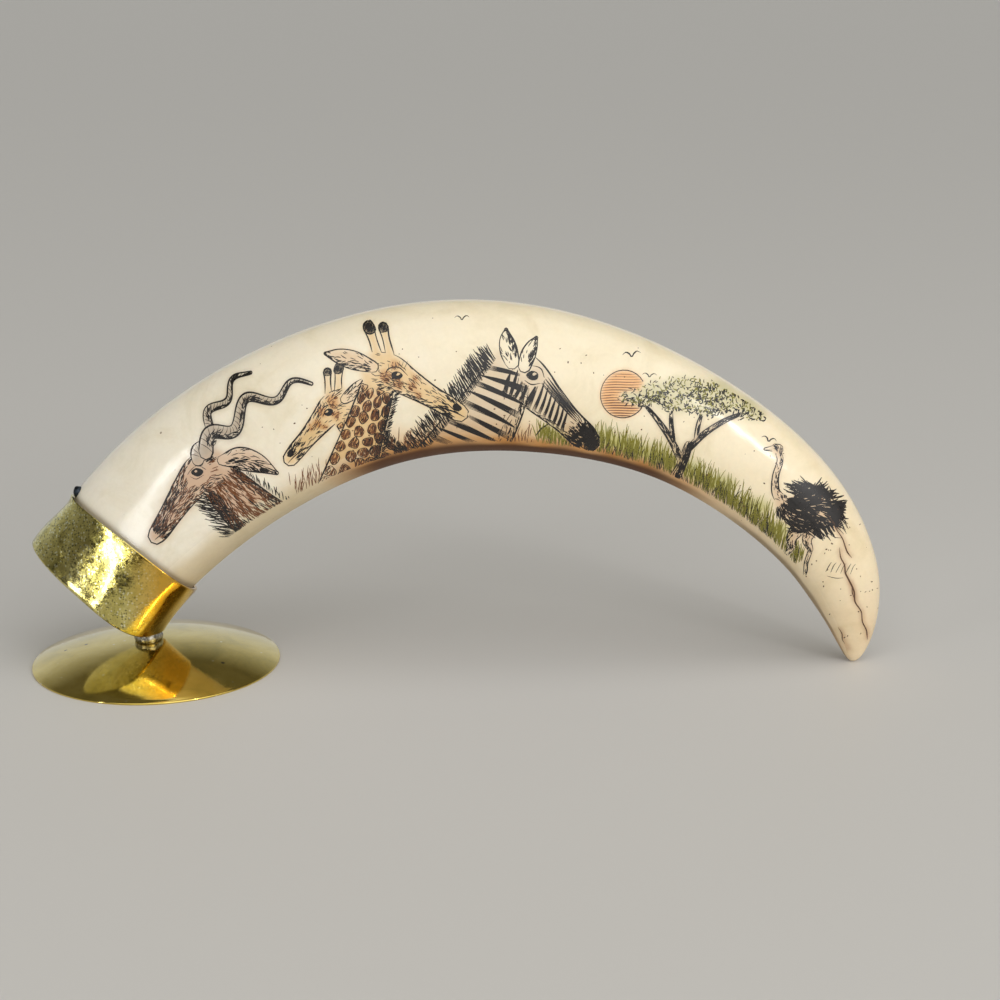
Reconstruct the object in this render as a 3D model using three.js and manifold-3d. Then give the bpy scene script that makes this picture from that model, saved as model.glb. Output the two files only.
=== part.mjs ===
import * as THREE from 'three';
import { mergeVertices } from 'three/addons/utils/BufferGeometryUtils.js';
import Module from 'manifold-3d';

// A polished warthog tusk held in an oval brass ferrule on a small domed brass foot.
// It stands on the foot's rim and on the tusk's own tip, as an arch.
// Millimetres, degrees, +Z up. +X runs from the foot to the tip, the engraved front faces -Y.

// Tusk
const tuskLength = 245.8;       // along the centreline, from its seat in the ferrule to the tip
const tuskBreadth = 38.7;       // widest measure in the plane of the bend
const tuskThickness = 25;       // front to back, as it would be at the seat at that breadth
const tipFlatness = 0.82;       // thickness as a share of breadth at the tip
const pointShare = 0.1;         // last share of the length, over which the point rounds off
const seatPower = 2.8;          // the section at the seat: 2 is an ellipse, more is squarer
const tipPower = 2.2;           // and at the tip
const seatWedge = 0.2;          // share by which the inner side of the bend is thicker at the seat
const paredDepth = 1.2;         // a shallow waist on the outside of the bend, at the ferrule's lip
const paredPlace = 11.5;        // its deepest place, from the seat
const paredFade = 4;            // from there to the full breadth, towards the tip
const seatTwist = 19;           // the front face leans back from upright by this much at the seat
const tipTwist = 6;             // and by this much at the tip
// Degrees that the centreline has turned since the seat, at equal steps along it
const turned = [0, 17.6, 35.9, 59.8, 80.5, 104.4, 146.2];
// Breadth at the same steps, as shares of the widest
const breadthShares = [0.929, 1, 0.985, 0.931, 0.767, 0.629, 0.303];

// Ferrule, a cup that follows the tusk
const ferruleHeight = 15.3;     // underside to lip, along the tusk
const ferruleWall = 0.8;
const ferruleEdge = 0.6;        // bevel round the underside
const seatClearance = 0.3;      // between the tusk and the inside of the ferrule
const ferruleSplay = 0.6;       // wider by this much all round at the underside than at the lip
const lipTilt = 15.5;           // the lip stands higher at the front
const lipSlant = 4.5;           // and higher at the inside of the bend

// Foot, a domed disc of sheet brass, hollow below
const footDiameter = 62;
const footRise = 6.5;           // floor to the top of the dome
const footSheet = 0.8;
const footEdge = 0.5;           // upright edge of the rim
const footRing = 1.2;           // width of the flat ring that it stands on

// Solder between the foot and the ferrule's lowest corner
const cornerHeight = 1.8;       // corner above the top of the dome
const cornerOffset = 1.4;       // corner from the foot's axis, towards the tip
const solderSize = new THREE.Vector3(6.6, 7.6, 5.2);
const solderShift = new THREE.Vector3(-3, -1.6, -0.9);   // its middle, from the corner
const jointGap = 0.3;           // left between touching pieces

// A small bead of solder at the outer end of the lip
const beadSize = 3.4;
const beadShift = 0;            // its middle, outwards from the tusk's surface
const beadRise = 2.4;           // and along the tusk, up from the lip's outer end
const beadAngle = 24;           // round the tusk, from the outside of the bend to the front

// Fineness of the meshes
const stations = 64;
const sectionSides = 36;
const footSides = 64;
const domeSteps = 9;
const blobSides = 20;
const spineSteps = 600;
const crowding = 1.4;           // how much closer the stations stand towards the tip
const leanTries = 40;
const leanRange = [80, 20];     // degrees, the lean is looked for between these
const weldDistance = 1e-4;

const radians = THREE.MathUtils.degToRad;

// A smooth curve through equally spaced values, straight past both ends
function alongValues(values, share) {
  const last = values.length - 1;
  const at = (i) => {
    if (i < 0) return 2 * values[0] - values[1];
    if (i > last) return 2 * values[last] - values[last - 1];
    return values[i];
  };
  const place = THREE.MathUtils.clamp(share, 0, 1) * last;
  const i = Math.min(Math.floor(place), last - 1);
  const t = place - i;
  const [a, b, c, d] = [at(i - 1), at(i), at(i + 1), at(i + 2)];
  const bend = (2 * a - 5 * b + 4 * c - d) * t * t + (3 * b - a - 3 * c + d) * t * t * t;
  return 0.5 * (2 * b + (c - a) * t + bend);
}

// The centreline in the tusk's own frame: it leaves the seat along +X and bends down
function makeSpine() {
  const points = [new THREE.Vector3(0, 0, 0)];
  const step = tuskLength / spineSteps;
  for (let i = 0; i < spineSteps; i += 1) {
    const heading = -radians(alongValues(turned, (i + 0.5) / spineSteps));
    const move = new THREE.Vector3(Math.cos(heading), 0, Math.sin(heading));
    points.push(points[i].clone().addScaledVector(move, step));
  }
  return points;
}
const spine = makeSpine();

function spineAt(distance) {
  const heading = -radians(alongValues(turned, distance / tuskLength));
  if (distance <= 0) return { middle: new THREE.Vector3(distance, 0, 0), heading };
  const place = Math.min(distance / tuskLength, 1) * spineSteps;
  const i = Math.min(Math.floor(place), spineSteps - 1);
  return { middle: spine[i].clone().lerp(spine[i + 1], place - i), heading };
}

const signedPower = (value, power) => Math.sign(value) * Math.abs(value) ** power;

// How deep the tusk is pared at a distance from the seat
function pared(distance) {
  const rise = THREE.MathUtils.smoothstep(distance, 0, paredPlace);
  return paredDepth * (rise - THREE.MathUtils.smoothstep(distance, paredPlace, paredPlace + paredFade));
}

// Half breadth and half thickness at a distance from the seat
function halfSizes(distance) {
  const share = THREE.MathUtils.clamp(distance / tuskLength, 0, 1);
  const past = Math.max(share - (1 - pointShare), 0) / pointShare;
  const rounding = Math.sqrt(Math.max(1 - past * past, 0));
  const breadth = (tuskBreadth / 2) * alongValues(breadthShares, share) * rounding;
  const flatness = THREE.MathUtils.lerp(tuskThickness / tuskBreadth, tipFlatness, share);
  return { breadth, thickness: breadth * flatness };
}

// A point of the tusk's surface, or of a form that stands off it by grown.
// Angle 0 is the outside of the bend, 90 degrees the engraved front.
function surfacePoint(distance, angle, grown) {
  const { middle, heading } = spineAt(distance);
  const half = halfSizes(distance);
  const share = distance / tuskLength;
  const twist = radians(THREE.MathUtils.lerp(seatTwist, tipTwist, share));
  const power = 2 / THREE.MathUtils.lerp(seatPower, tipPower, share);
  const thickness = half.thickness * (1 - seatWedge * (1 - share) * Math.cos(angle));
  const lost = pared(distance) * Math.max(Math.cos(angle), 0);
  const across = (half.breadth + grown) * signedPower(Math.cos(angle), power) - lost;
  const front = (thickness + grown) * signedPower(Math.sin(angle), power);
  const out = across * Math.cos(twist) + front * Math.sin(twist);
  const near = front * Math.cos(twist) - across * Math.sin(twist);
  return new THREE.Vector3(
    middle.x - out * Math.sin(heading),
    -near,
    middle.z + out * Math.cos(heading),
  );
}

// A ring round the tusk. At a share of 1 it has the lip's tilt and slant, at 0 it is square to the tusk.
function ring(distance, grown, lipShare = 0) {
  const { middle } = spineAt(distance);
  const tilt = lipShare * Math.tan(radians(lipTilt));
  const slant = lipShare * Math.tan(radians(lipSlant));
  const points = [];
  for (let i = 0; i < sectionSides; i += 1) {
    const angle = (i / sectionSides) * 2 * Math.PI;
    const level = surfacePoint(distance, angle, grown);
    const further = -level.y * tilt - (level.z - middle.z) * slant;
    points.push(surfacePoint(distance + further, angle, grown));
  }
  return points;
}

function middleOf(points) {
  const middle = new THREE.Vector3();
  points.forEach((point) => middle.add(point));
  return middle.divideScalar(points.length);
}

// A closed skin through rings of equal count, ended by a point at each end
function loft(rings, startPoint, endPoint) {
  const sides = rings[0].length;
  const vertices = [startPoint, ...rings.flat(), endPoint];
  const triangles = [];
  const corner = (row, i) => 1 + row * sides + (i % sides);
  for (let i = 0; i < sides; i += 1) {
    triangles.push(0, corner(0, i + 1), corner(0, i));
    triangles.push(vertices.length - 1, corner(rings.length - 1, i), corner(rings.length - 1, i + 1));
    for (let row = 0; row + 1 < rings.length; row += 1) {
      const [a, b] = [corner(row, i), corner(row, i + 1)];
      const [c, d] = [corner(row + 1, i), corner(row + 1, i + 1)];
      triangles.push(a, b, c, b, d, c);
    }
  }
  const geometry = new THREE.BufferGeometry().setFromPoints(vertices);
  geometry.setIndex(triangles);
  return geometry;
}

function tuskGeometry() {
  const rings = [];
  for (let i = 0; i < stations; i += 1) {
    // Stations close up towards the point
    const share = 1 - (1 - i / stations) ** crowding;
    rings.push(ring(share * tuskLength, 0));
  }
  return loft(rings, spineAt(0).middle, spineAt(tuskLength).middle);
}

const underside = -(seatClearance + ferruleWall);
const lip = underside + ferruleHeight;

// How far the ferrule's outer and inner faces stand off the tusk, from 0 at the underside to 1 at the lip
const outerFace = (share) => seatClearance + ferruleWall + ferruleSplay * (1 - share);
const innerFace = (share) => outerFace(share) - ferruleWall;

// The ferrule's outer form as a plug without a hollow, grown all round for the pieces that meet it
function ferrulePlug(grown) {
  const low = underside - grown;
  const high = lip + grown;
  const rings = [
    ring(low, outerFace(0) + grown - ferruleEdge),
    ring(low + ferruleEdge, outerFace(0) + grown),
    ring((low + high) / 2, outerFace(0.5) + grown, 0.5),
    ring(high, outerFace(1) + grown, 1),
  ];
  return loft(rings, middleOf(rings[0]), middleOf(rings[rings.length - 1]));
}

function ferruleGeometry() {
  const rings = [
    ring(underside, outerFace(0) - ferruleEdge),
    ring(underside + ferruleEdge, outerFace(0)),
    ring((underside + lip) / 2, outerFace(0.5), 0.5),
    ring(lip, outerFace(1), 1),
    ring(lip, innerFace(1), 1),
    ring((underside + lip) / 2, innerFace(0.5), 0.5),
    ring(-seatClearance, innerFace(0)),
  ];
  return loft(rings, middleOf(rings[0]), middleOf(rings[rings.length - 1]));
}

// The dome's height at a radius: a spherical cap that ends on the upright edge
function domeHeight(radius, top, rimRadius, rimHeight) {
  const rise = top - rimHeight;
  const ball = (rimRadius * rimRadius + rise * rise) / (2 * rise);
  return Math.sqrt(ball * ball - radius * radius) - ball + top;
}

function domeProfile(top, rimRadius, rimHeight) {
  const points = [];
  for (let i = 0; i <= domeSteps; i += 1) {
    const radius = (i / domeSteps) * rimRadius;
    points.push(new THREE.Vector2(radius, domeHeight(radius, top, rimRadius, rimHeight)));
  }
  return points;
}

// Turned about +Z, from a profile of radius and height that runs from the axis to the axis
function turnedGeometry(profile) {
  const geometry = new THREE.LatheGeometry(profile, footSides);
  return geometry.rotateX(Math.PI / 2);
}

function footGeometry() {
  const rim = footDiameter / 2;
  const above = domeProfile(footRise, rim, footEdge);
  const below = domeProfile(footRise - footSheet, rim - footRing, 0).reverse();
  const profile = [...above, new THREE.Vector2(rim, 0), ...below];
  return turnedGeometry(profile.reverse());
}

// The foot's outer form without its hollow, grown all round
function footPlug(grown) {
  const rim = footDiameter / 2 + grown;
  const above = domeProfile(footRise + grown, rim, footEdge + grown);
  const profile = [...above, new THREE.Vector2(rim, -grown), new THREE.Vector2(0, -grown)];
  return turnedGeometry(profile.reverse());
}

// Booleans
const wasm = await Module();
wasm.setup();

function toSolid(geometry) {
  const bare = geometry.clone();
  bare.deleteAttribute('normal');
  bare.deleteAttribute('uv');
  const merged = mergeVertices(bare, weldDistance);
  return new wasm.Manifold(new wasm.Mesh({
    numProp: 3,
    vertProperties: new Float32Array(merged.attributes.position.array),
    triVerts: new Uint32Array(merged.index.array),
  }));
}

function toGeometry(solid) {
  const mesh = solid.getMesh();
  const geometry = new THREE.BufferGeometry();
  geometry.setAttribute('position', new THREE.BufferAttribute(mesh.vertProperties, 3));
  geometry.setIndex(new THREE.BufferAttribute(mesh.triVerts, 1));
  return geometry;
}

function cutBy(geometry, cutters) {
  let solid = toSolid(geometry);
  cutters.forEach((cutter) => {
    solid = solid.subtract(toSolid(cutter));
  });
  return toGeometry(solid);
}

// Leaned back about Y, from lying along +X to pointing up by this many degrees
function leaned(geometry, lean) {
  return geometry.clone().rotateY(-radians(lean));
}

function lowestPoint(geometry) {
  const lowest = new THREE.Vector3(0, 0, Infinity);
  const point = new THREE.Vector3();
  for (let i = 0; i < geometry.attributes.position.count; i += 1) {
    point.fromBufferAttribute(geometry.attributes.position, i);
    if (point.z < lowest.z) lowest.copy(point);
  }
  return lowest;
}

// The tusk and its ferrule lean until the tip comes down to the floor
const tuskShape = tuskGeometry();
const ferruleShape = ferruleGeometry();
const corner = new THREE.Vector3(cornerOffset, 0, footRise + cornerHeight);

function tipDrop(lean) {
  const tipBelowCorner = lowestPoint(leaned(ferruleShape, lean)).z - lowestPoint(leaned(tuskShape, lean)).z;
  return tipBelowCorner - corner.z;
}

function findLean() {
  let [steep, low] = leanRange;
  for (let i = 0; i < leanTries; i += 1) {
    const middle = (steep + low) / 2;
    if (tipDrop(middle) > 0) low = middle;
    else steep = middle;
  }
  return (steep + low) / 2;
}

const lean = findLean();
const seatPlace = corner.clone().sub(lowestPoint(leaned(ferruleShape, lean)));
seatPlace.y = 0;
const placed = (geometry) => leaned(geometry, lean).translate(seatPlace.x, 0, seatPlace.z);

function blob(size, middle) {
  const geometry = new THREE.SphereGeometry(0.5, blobSides, blobSides / 2);
  return geometry.scale(size.x, size.y, size.z).translate(middle.x, middle.y, middle.z);
}

function solderGeometry() {
  const whole = blob(solderSize, corner.clone().add(solderShift));
  return cutBy(whole, [placed(ferrulePlug(jointGap)), footPlug(jointGap)]);
}

// The bead fills the notch between the lip's outer end and the tusk
function beadGeometry() {
  const lipEnd = lip - Math.tan(radians(lipSlant)) * halfSizes(lip).breadth;
  const middle = surfacePoint(lipEnd + beadRise, radians(beadAngle), beadShift);
  const whole = blob(new THREE.Vector3(beadSize, beadSize, beadSize), middle);
  const tuskPlug = loft(
    [ring(0, jointGap), ring(lip, jointGap), ring(lip + 2 * beadSize, jointGap)],
    spineAt(0).middle,
    spineAt(lip + 2 * beadSize).middle,
  );
  return placed(cutBy(whole, [ferrulePlug(jointGap), tuskPlug]));
}

// Materials
const ivory = new THREE.MeshStandardMaterial({ color: 0xe9dcbc, roughness: 0.25, metalness: 0 });
const brass = new THREE.MeshStandardMaterial({ color: 0xb08d2e, roughness: 0.22, metalness: 1 });
const footBrass = new THREE.MeshStandardMaterial({ color: 0x9c8634, roughness: 0.15, metalness: 1 });
const solder = new THREE.MeshStandardMaterial({ color: 0x8c8b84, roughness: 0.4, metalness: 1 });
const darkSolder = new THREE.MeshStandardMaterial({ color: 0x4c5158, roughness: 0.4, metalness: 1 });

function piece(name, geometry, material) {
  const mesh = new THREE.Mesh(geometry, material);
  mesh.name = name;
  return mesh;
}

const model = new THREE.Group();
model.add(piece('tusk', placed(tuskShape), ivory));
model.add(piece('ferrule', placed(ferruleShape), brass));
model.add(piece('foot', footGeometry(), footBrass));
model.add(piece('solder_joint', solderGeometry(), solder));
model.add(piece('lip_bead', beadGeometry(), darkSolder));

// The origin is on the floor under the middle of the whole
const box = new THREE.Box3().setFromObject(model, true);
model.position.x = -(box.min.x + box.max.x) / 2;
model.position.y = -(box.min.y + box.max.y) / 2;
model.updateMatrixWorld(true);

export default model;
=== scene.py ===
import contextlib
import math

import bmesh
import bpy
import numpy as np
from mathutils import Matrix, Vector


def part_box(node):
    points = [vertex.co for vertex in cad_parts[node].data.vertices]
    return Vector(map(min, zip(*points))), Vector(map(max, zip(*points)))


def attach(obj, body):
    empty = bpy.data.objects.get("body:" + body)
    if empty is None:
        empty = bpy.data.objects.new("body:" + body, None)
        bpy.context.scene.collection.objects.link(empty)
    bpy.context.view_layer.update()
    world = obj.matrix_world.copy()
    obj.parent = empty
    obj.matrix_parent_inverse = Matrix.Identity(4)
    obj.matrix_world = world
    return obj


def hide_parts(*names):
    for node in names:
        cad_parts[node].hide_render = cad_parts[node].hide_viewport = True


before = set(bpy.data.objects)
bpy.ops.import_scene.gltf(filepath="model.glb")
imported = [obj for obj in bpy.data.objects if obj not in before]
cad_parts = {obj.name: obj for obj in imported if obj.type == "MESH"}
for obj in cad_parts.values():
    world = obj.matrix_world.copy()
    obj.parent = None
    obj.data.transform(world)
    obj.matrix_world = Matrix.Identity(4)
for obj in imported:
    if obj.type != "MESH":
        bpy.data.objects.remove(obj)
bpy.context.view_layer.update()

# A warthog tusk with an inked front, in a brass ferrule on a domed brass foot.
# Shapes are worked out in millimetres, in the row's frame, and made in metres.
MM = 0.001

# Tusk, as the solid has it
TUSK_LENGTH = 245.8
TUSK_BREADTH = 38.7
TUSK_THICKNESS = 25
TIP_FLATNESS = 0.82
POINT_SHARE = 0.1
SEAT_POWER, TIP_POWER = 2.8, 2.2
SEAT_WEDGE = 0.2
PARED_DEPTH, PARED_PLACE, PARED_FADE = 1.2, 11.5, 4
SEAT_TWIST, TIP_TWIST = 19, 6
TURNED = [0, 17.6, 35.9, 59.8, 80.5, 104.4, 146.2]
BREADTH_SHARES = [0.929, 1, 0.985, 0.931, 0.767, 0.629, 0.303]
SPINE_STEPS = 600
LEAN_RANGE = (60, 45)
LEAN_TRIES = 40

# Ferrule, foot and solder, as the solids have them
FERRULE_HEIGHT = 15.3
FERRULE_WALL = 0.8
FERRULE_EDGE = 0.6
FERRULE_SPLAY = 0.6
SEAT_CLEARANCE = 0.3
FERRULE_LOW = -(SEAT_CLEARANCE + FERRULE_WALL)
FERRULE_LIP = FERRULE_LOW + FERRULE_HEIGHT
LIP_TILT, LIP_SLANT = 15.5, 4.5
FOOT_DIAMETER = 62
FOOT_RISE = 6.5
FOOT_SHEET = 0.8
FOOT_EDGE = 0.5
FOOT_RING = 1.2

# What only the scene has: rounded edges, the lip's ear, dents, and lumps in the solder
FERRULE_BEVEL, FOOT_ROUND, FOOT_BEVEL = 0.25, 0.2, 0.08
LIP_EAR, LIP_EAR_PLACE, LIP_EAR_REACH = 1.3, 0.15, 0.55
DENTS, LUMPS = 14, 40

# Fineness of the meshes made here
TUSK_RINGS, TUSK_SIDES = 500, 196
TUSK_CROWDING, FRONT_CROWDING = 1.25, 0.35
FERRULE_RINGS, FERRULE_SIDES = 40, 300
FOOT_RINGS, FOOT_SIDES = 48, 256
MAP_MARGINS = (0.02, 0.01)

# The picture plane in front of the tusk, in cells, and the part of the front that may be inked: from the
# seat, short of the tip, and by shares of the half breadth from the inside of the bend to the outside
CELL = 0.12
PLANE_LOW = np.array([-112.0, -3.0])
PLANE_SIZE = (1860, 830)
INKED_FROM, INKED_SHORT = 17, 6
INKED_SHARES = (-0.74, 0.92)
FRONT_CELLS = (3600, 620)

# Strokes: points of a short one, the fewest that show, and points above which a line keeps every other one
STROKE_POINTS, SHORTEST_RUN, LONG_LINE = 7, 3, 9
LINE_WAVE, LINE_FADE = 0.22, 7
STRIPE_POINTS, STRIPE_BOW = 24, 0.012
GRASS_SHARES = (-0.86, -0.6)
LEAF_AREA = 0.24

# Hairs: how far their angles and curls spread, and their least and greatest length as shares
FUR_ANGLE, FUR_CURL, FUR_LENGTHS = 0.13, 0.25, (0.6, 1.25)
MANE_ANGLE, MANE_CURL, MANE_LENGTHS = 0.12, 0.15, (0.7, 1.15)

# Ink on the tusk, and where the rubbed-in colours fade: by how far the skin faces the front, and by angle
INK_PROUD, INK_DEEP = 0.015, 0.08
FRONT_STATIONS, FRONT_STEPS = 240, 121
FRONT_ANGLES = (-60, 240, 601)
BATCH = 20000
WASH_FACING, WASH_END = (0.05, 0.3), (129, 139)

# Camera: how far from the foot's axis it stands, in millimetres, and how it looks
CAMERA_FROM_FOOT = (86.95, -477.9, 175.4)
CAMERA_PITCH = 15.56
CAMERA_LENS = 72

# Roughness of the stained ivory, and where across the ferrule a painted golden-orange reflection of the foot
# comes in
DULLEST = 0.75
REFLECTION_SIDE = (0.62, 0.84)

FLOOR_REACH = 12.0
FLOOR_COLOUR = (0.62, 0.6, 0.57, 1)
WORLD_WALLS = [(0.15, (0.12, 0.11, 0.09)), (0.5, (0.36, 0.36, 0.35)), (0.85, (0.78, 0.82, 0.86))]
WORLD_CEILING = (0.16, 0.15, 0.11, 1)
WORLD_HEIGHT = [(0.32, (0, 0, 0)), (0.62, (1, 1, 1))]
WORLD_STRENGTH = 0.75

rng = np.random.default_rng(958)


# Tusk surface

def between(a, b, c, d, t):
    """A smooth curve from b to c, with a before them and d after."""
    bend = (2 * a - 5 * b + 4 * c - d) * t ** 2 + (3 * b - a - 3 * c + d) * t ** 3
    return 0.5 * (2 * b + (c - a) * t + bend)


def along(values, share):
    """A smooth curve through equally spaced values, straight past both ends."""
    values = np.array(values, float)
    values = np.concatenate([[2 * values[0] - values[1]], values, [2 * values[-1] - values[-2]]])
    place = np.clip(share, 0, 1) * (len(values) - 3)
    i = np.minimum(place.astype(int), len(values) - 4)
    return between(values[i], values[i + 1], values[i + 2], values[i + 3], place - i)


def smoothstep(x, low, high):
    t = np.clip((x - low) / (high - low), 0, 1)
    return t * t * (3 - 2 * t)


def signed_power(value, power):
    return np.sign(value) * np.abs(value) ** power


def circle(sides):
    """Equally spaced angles round a whole turn."""
    return np.linspace(0, 2 * np.pi, sides, endpoint=False)


spine_distance = np.linspace(0, TUSK_LENGTH, SPINE_STEPS + 1)
spine_heading = -np.radians(along(TURNED, (np.arange(SPINE_STEPS) + 0.5) / SPINE_STEPS))
spine_step = TUSK_LENGTH / SPINE_STEPS
spine_x = np.concatenate([[0], np.cumsum(np.cos(spine_heading) * spine_step)])
spine_z = np.concatenate([[0], np.cumsum(np.sin(spine_heading) * spine_step)])


def half_sizes(distance):
    """Half the tusk's breadth and half its thickness."""
    share = np.clip(distance / TUSK_LENGTH, 0, 1)
    past = np.maximum(share - (1 - POINT_SHARE), 0) / POINT_SHARE
    breadth = TUSK_BREADTH / 2 * along(BREADTH_SHARES, share) * np.sqrt(np.maximum(1 - past ** 2, 0))
    flatness = TUSK_THICKNESS / TUSK_BREADTH * (1 - share) + TIP_FLATNESS * share
    return breadth, breadth * flatness


def own_surface(distance, angle, grown=0.0):
    """Points of the tusk in its own frame, where it leaves the seat along +X.
    Angle 0 is the outside of the bend, 90 degrees the inked front."""
    distance, angle = np.broadcast_arrays(np.asarray(distance, float), np.asarray(angle, float))
    share = distance / TUSK_LENGTH
    middle_x = np.where(distance <= 0, distance, np.interp(distance, spine_distance, spine_x))
    middle_z = np.interp(distance, spine_distance, spine_z)
    heading = -np.radians(along(TURNED, share))
    breadth, thickness = half_sizes(distance)
    twist = np.radians(SEAT_TWIST + (TIP_TWIST - SEAT_TWIST) * share)
    power = 2 / (SEAT_POWER + (TIP_POWER - SEAT_POWER) * share)
    thickness = thickness * (1 - SEAT_WEDGE * (1 - share) * np.cos(angle))
    pared = PARED_DEPTH * (smoothstep(distance, 0, PARED_PLACE)
                           - smoothstep(distance, PARED_PLACE, PARED_PLACE + PARED_FADE))
    across = (breadth + grown) * signed_power(np.cos(angle), power) - pared * np.maximum(np.cos(angle), 0)
    front = (thickness + grown) * signed_power(np.sin(angle), power)
    out = across * np.cos(twist) + front * np.sin(twist)
    near = front * np.cos(twist) - across * np.sin(twist)
    return np.stack([middle_x - out * np.sin(heading), -near, middle_z + out * np.cos(heading)], axis=-1)


def leaned(points, lean):
    c, s = math.cos(math.radians(lean)), math.sin(math.radians(lean))
    x, y, z = points[..., 0], points[..., 1], points[..., 2]
    return np.stack([x * c - z * s, y, x * s + z * c], axis=-1)


def find_lean(height):
    """The lean at which the tusk is as high as its solid."""
    rings = TUSK_LENGTH * np.linspace(0, 1, 160)[:, None]
    shape = own_surface(rings, circle(72)[None, :])
    steep, low = LEAN_RANGE
    for _ in range(LEAN_TRIES):
        middle = (steep + low) / 2
        z = leaned(shape, middle)[..., 2]
        if z.max() - z.min() > height:
            low = middle
        else:
            steep = middle
    return (steep + low) / 2, leaned(shape, (steep + low) / 2).reshape(-1, 3).min(axis=0)


tusk_low, tusk_high = [np.array(corner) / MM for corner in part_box("tusk")]
LEAN, own_low = find_lean(tusk_high[2] - tusk_low[2])
SHIFT = np.array([tusk_low[0] - own_low[0], 0, tusk_low[2] - own_low[2]])


def surface(distance, angle):
    return leaned(own_surface(distance, angle), LEAN) + SHIFT


def surface_normal(distance, angle):
    step = 0.02
    du = surface(distance + step, angle) - surface(distance - step, angle)
    dv = surface(distance, angle + step) - surface(distance, angle - step)
    n = np.cross(dv, du)
    return n / (np.linalg.norm(n, axis=-1, keepdims=True) + 1e-12)


# Meshes

def add_object(name, data):
    obj = bpy.data.objects.new(name, data)
    bpy.context.scene.collection.objects.link(obj)
    return obj


def make_object(name, vertices, faces, smooth=True):
    mesh = bpy.data.meshes.new(name)
    mesh.from_pydata([tuple(v) for v in np.asarray(vertices) * MM], [], faces)
    mesh.update()
    if smooth:
        mesh.shade_smooth()
    return add_object(name, mesh)


def closed_tube(name, rings):
    """A closed skin through rings of equal count, with a fan on each end."""
    rows, sides = rings.shape[:2]
    vertices = np.concatenate([rings.reshape(-1, 3), [rings[0].mean(axis=0), rings[-1].mean(axis=0)]])
    first, last = rows * sides, (rows - 1) * sides
    around = [(i, (i + 1) % sides) for i in range(sides)]
    faces = [(row + i, row + j, row + j + sides, row + i + sides)
             for row in range(0, last, sides) for i, j in around]
    for i, j in around:
        faces += [(j, i, first), (last + i, last + j, first + 1)]
    return make_object(name, vertices, faces)


# Materials

def srgb(r, g, b):
    """A colour as read on the screen, 0 to 255, in linear light."""
    c = np.array([r, g, b]) / 255
    return tuple(np.where(c <= 0.04045, c / 12.92, ((c + 0.055) / 1.055) ** 2.4)) + (1.0,)


class Graph:
    """The node tree of a material or of the world, with short ways to add nodes to it."""

    def __init__(self, owner):
        owner.use_nodes = True
        self.nodes, self.links = owner.node_tree.nodes, owner.node_tree.links

    def put(self, socket, value):
        """Gives a socket a value, or links another node's output to it."""
        if hasattr(value, "is_output"):
            self.links.new(value, socket)
        else:
            socket.default_value = value

    def add(self, kind, inputs, output=0, **settings):
        """A new node with these inputs and settings. It gives back one of its outputs."""
        node = self.nodes.new("ShaderNode" + kind)
        for name, value in settings.items():
            setattr(node, name, value)
        for name, value in inputs.items():
            self.put(node.inputs[name], value)
        return node.outputs[output]

    def surface(self, inputs):
        """Sets or links the shader's own sockets."""
        for name, value in inputs.items():
            self.put(self.nodes["Principled BSDF"].inputs[name], value)

    def brass(self, colour, rough, coat_roughness):
        self.surface({"Base Color": colour, "Metallic": 1, "Roughness": rough, "Coat Weight": 0.6,
                      "Coat Roughness": coat_roughness})

    def maths(self, operation, *values):
        return self.add("Math", dict(enumerate(values)), operation=operation)

    def times(self, first, second):
        return self.maths("MULTIPLY", first, second)

    def mix(self, share, first, second, blend="MIX"):
        """The first colour where share is 0, the second where it is 1."""
        return self.add("Mix", {0: share, 6: first, 7: second}, 2, data_type="RGBA", blend_type=blend)

    def ramp(self, value, stops):
        """A smooth ramp from (place, colour) stops."""
        colour = self.add("ValToRGB", {"Fac": value}, "Color")
        marks = colour.node.color_ramp.elements
        while len(marks) < len(stops):
            marks.new(0.5)
        for mark, (place, tone) in zip(marks, stops):
            mark.position = place
            mark.color = tuple(tone[:3]) + (1,)
        return colour

    def levels(self, value, *stops):
        """A ramp of greys, from (place, level) stops."""
        return self.ramp(value, [(place, (level,) * 3) for place, level in stops])

    def place(self, scale=(1, 1, 1), shift=(0, 0, 0)):
        on_object = self.add("TexCoord", {}, "Object")
        return self.add("Mapping", {"Vector": on_object, "Scale": scale, "Location": shift})

    def split(self, vector):
        return self.add("SeparateXYZ", {0: vector}).node.outputs

    def noise(self, vector, size, detail=3.0, rough=0.5, distortion=0.0):
        """Noise whose features are about size millimetres across."""
        return self.add("TexNoise", {"Vector": vector, "Scale": 1 / (size * MM), "Detail": detail,
                                     "Roughness": rough, "Distortion": distortion}, "Fac")

    def speckle(self, vector, size, reach, share):
        """1 in small round specks, 0 elsewhere: this share of the cells of this size has one."""
        distance = self.add("TexVoronoi", {"Vector": vector, "Scale": 1 / (size * MM)}, "Distance")
        pick = self.add("SeparateColor", {0: distance.node.outputs["Color"]})
        return self.times(self.maths("LESS_THAN", distance, reach), self.maths("LESS_THAN", pick, share))

    def bump(self, height, strength, depth):
        self.surface({"Normal": self.add("Bump", {"Height": height, "Strength": strength,
                                                  "Distance": depth * MM}, "Normal")})


def new_material(name):
    material = bpy.data.materials.new(name)
    return material, Graph(material)


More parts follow.
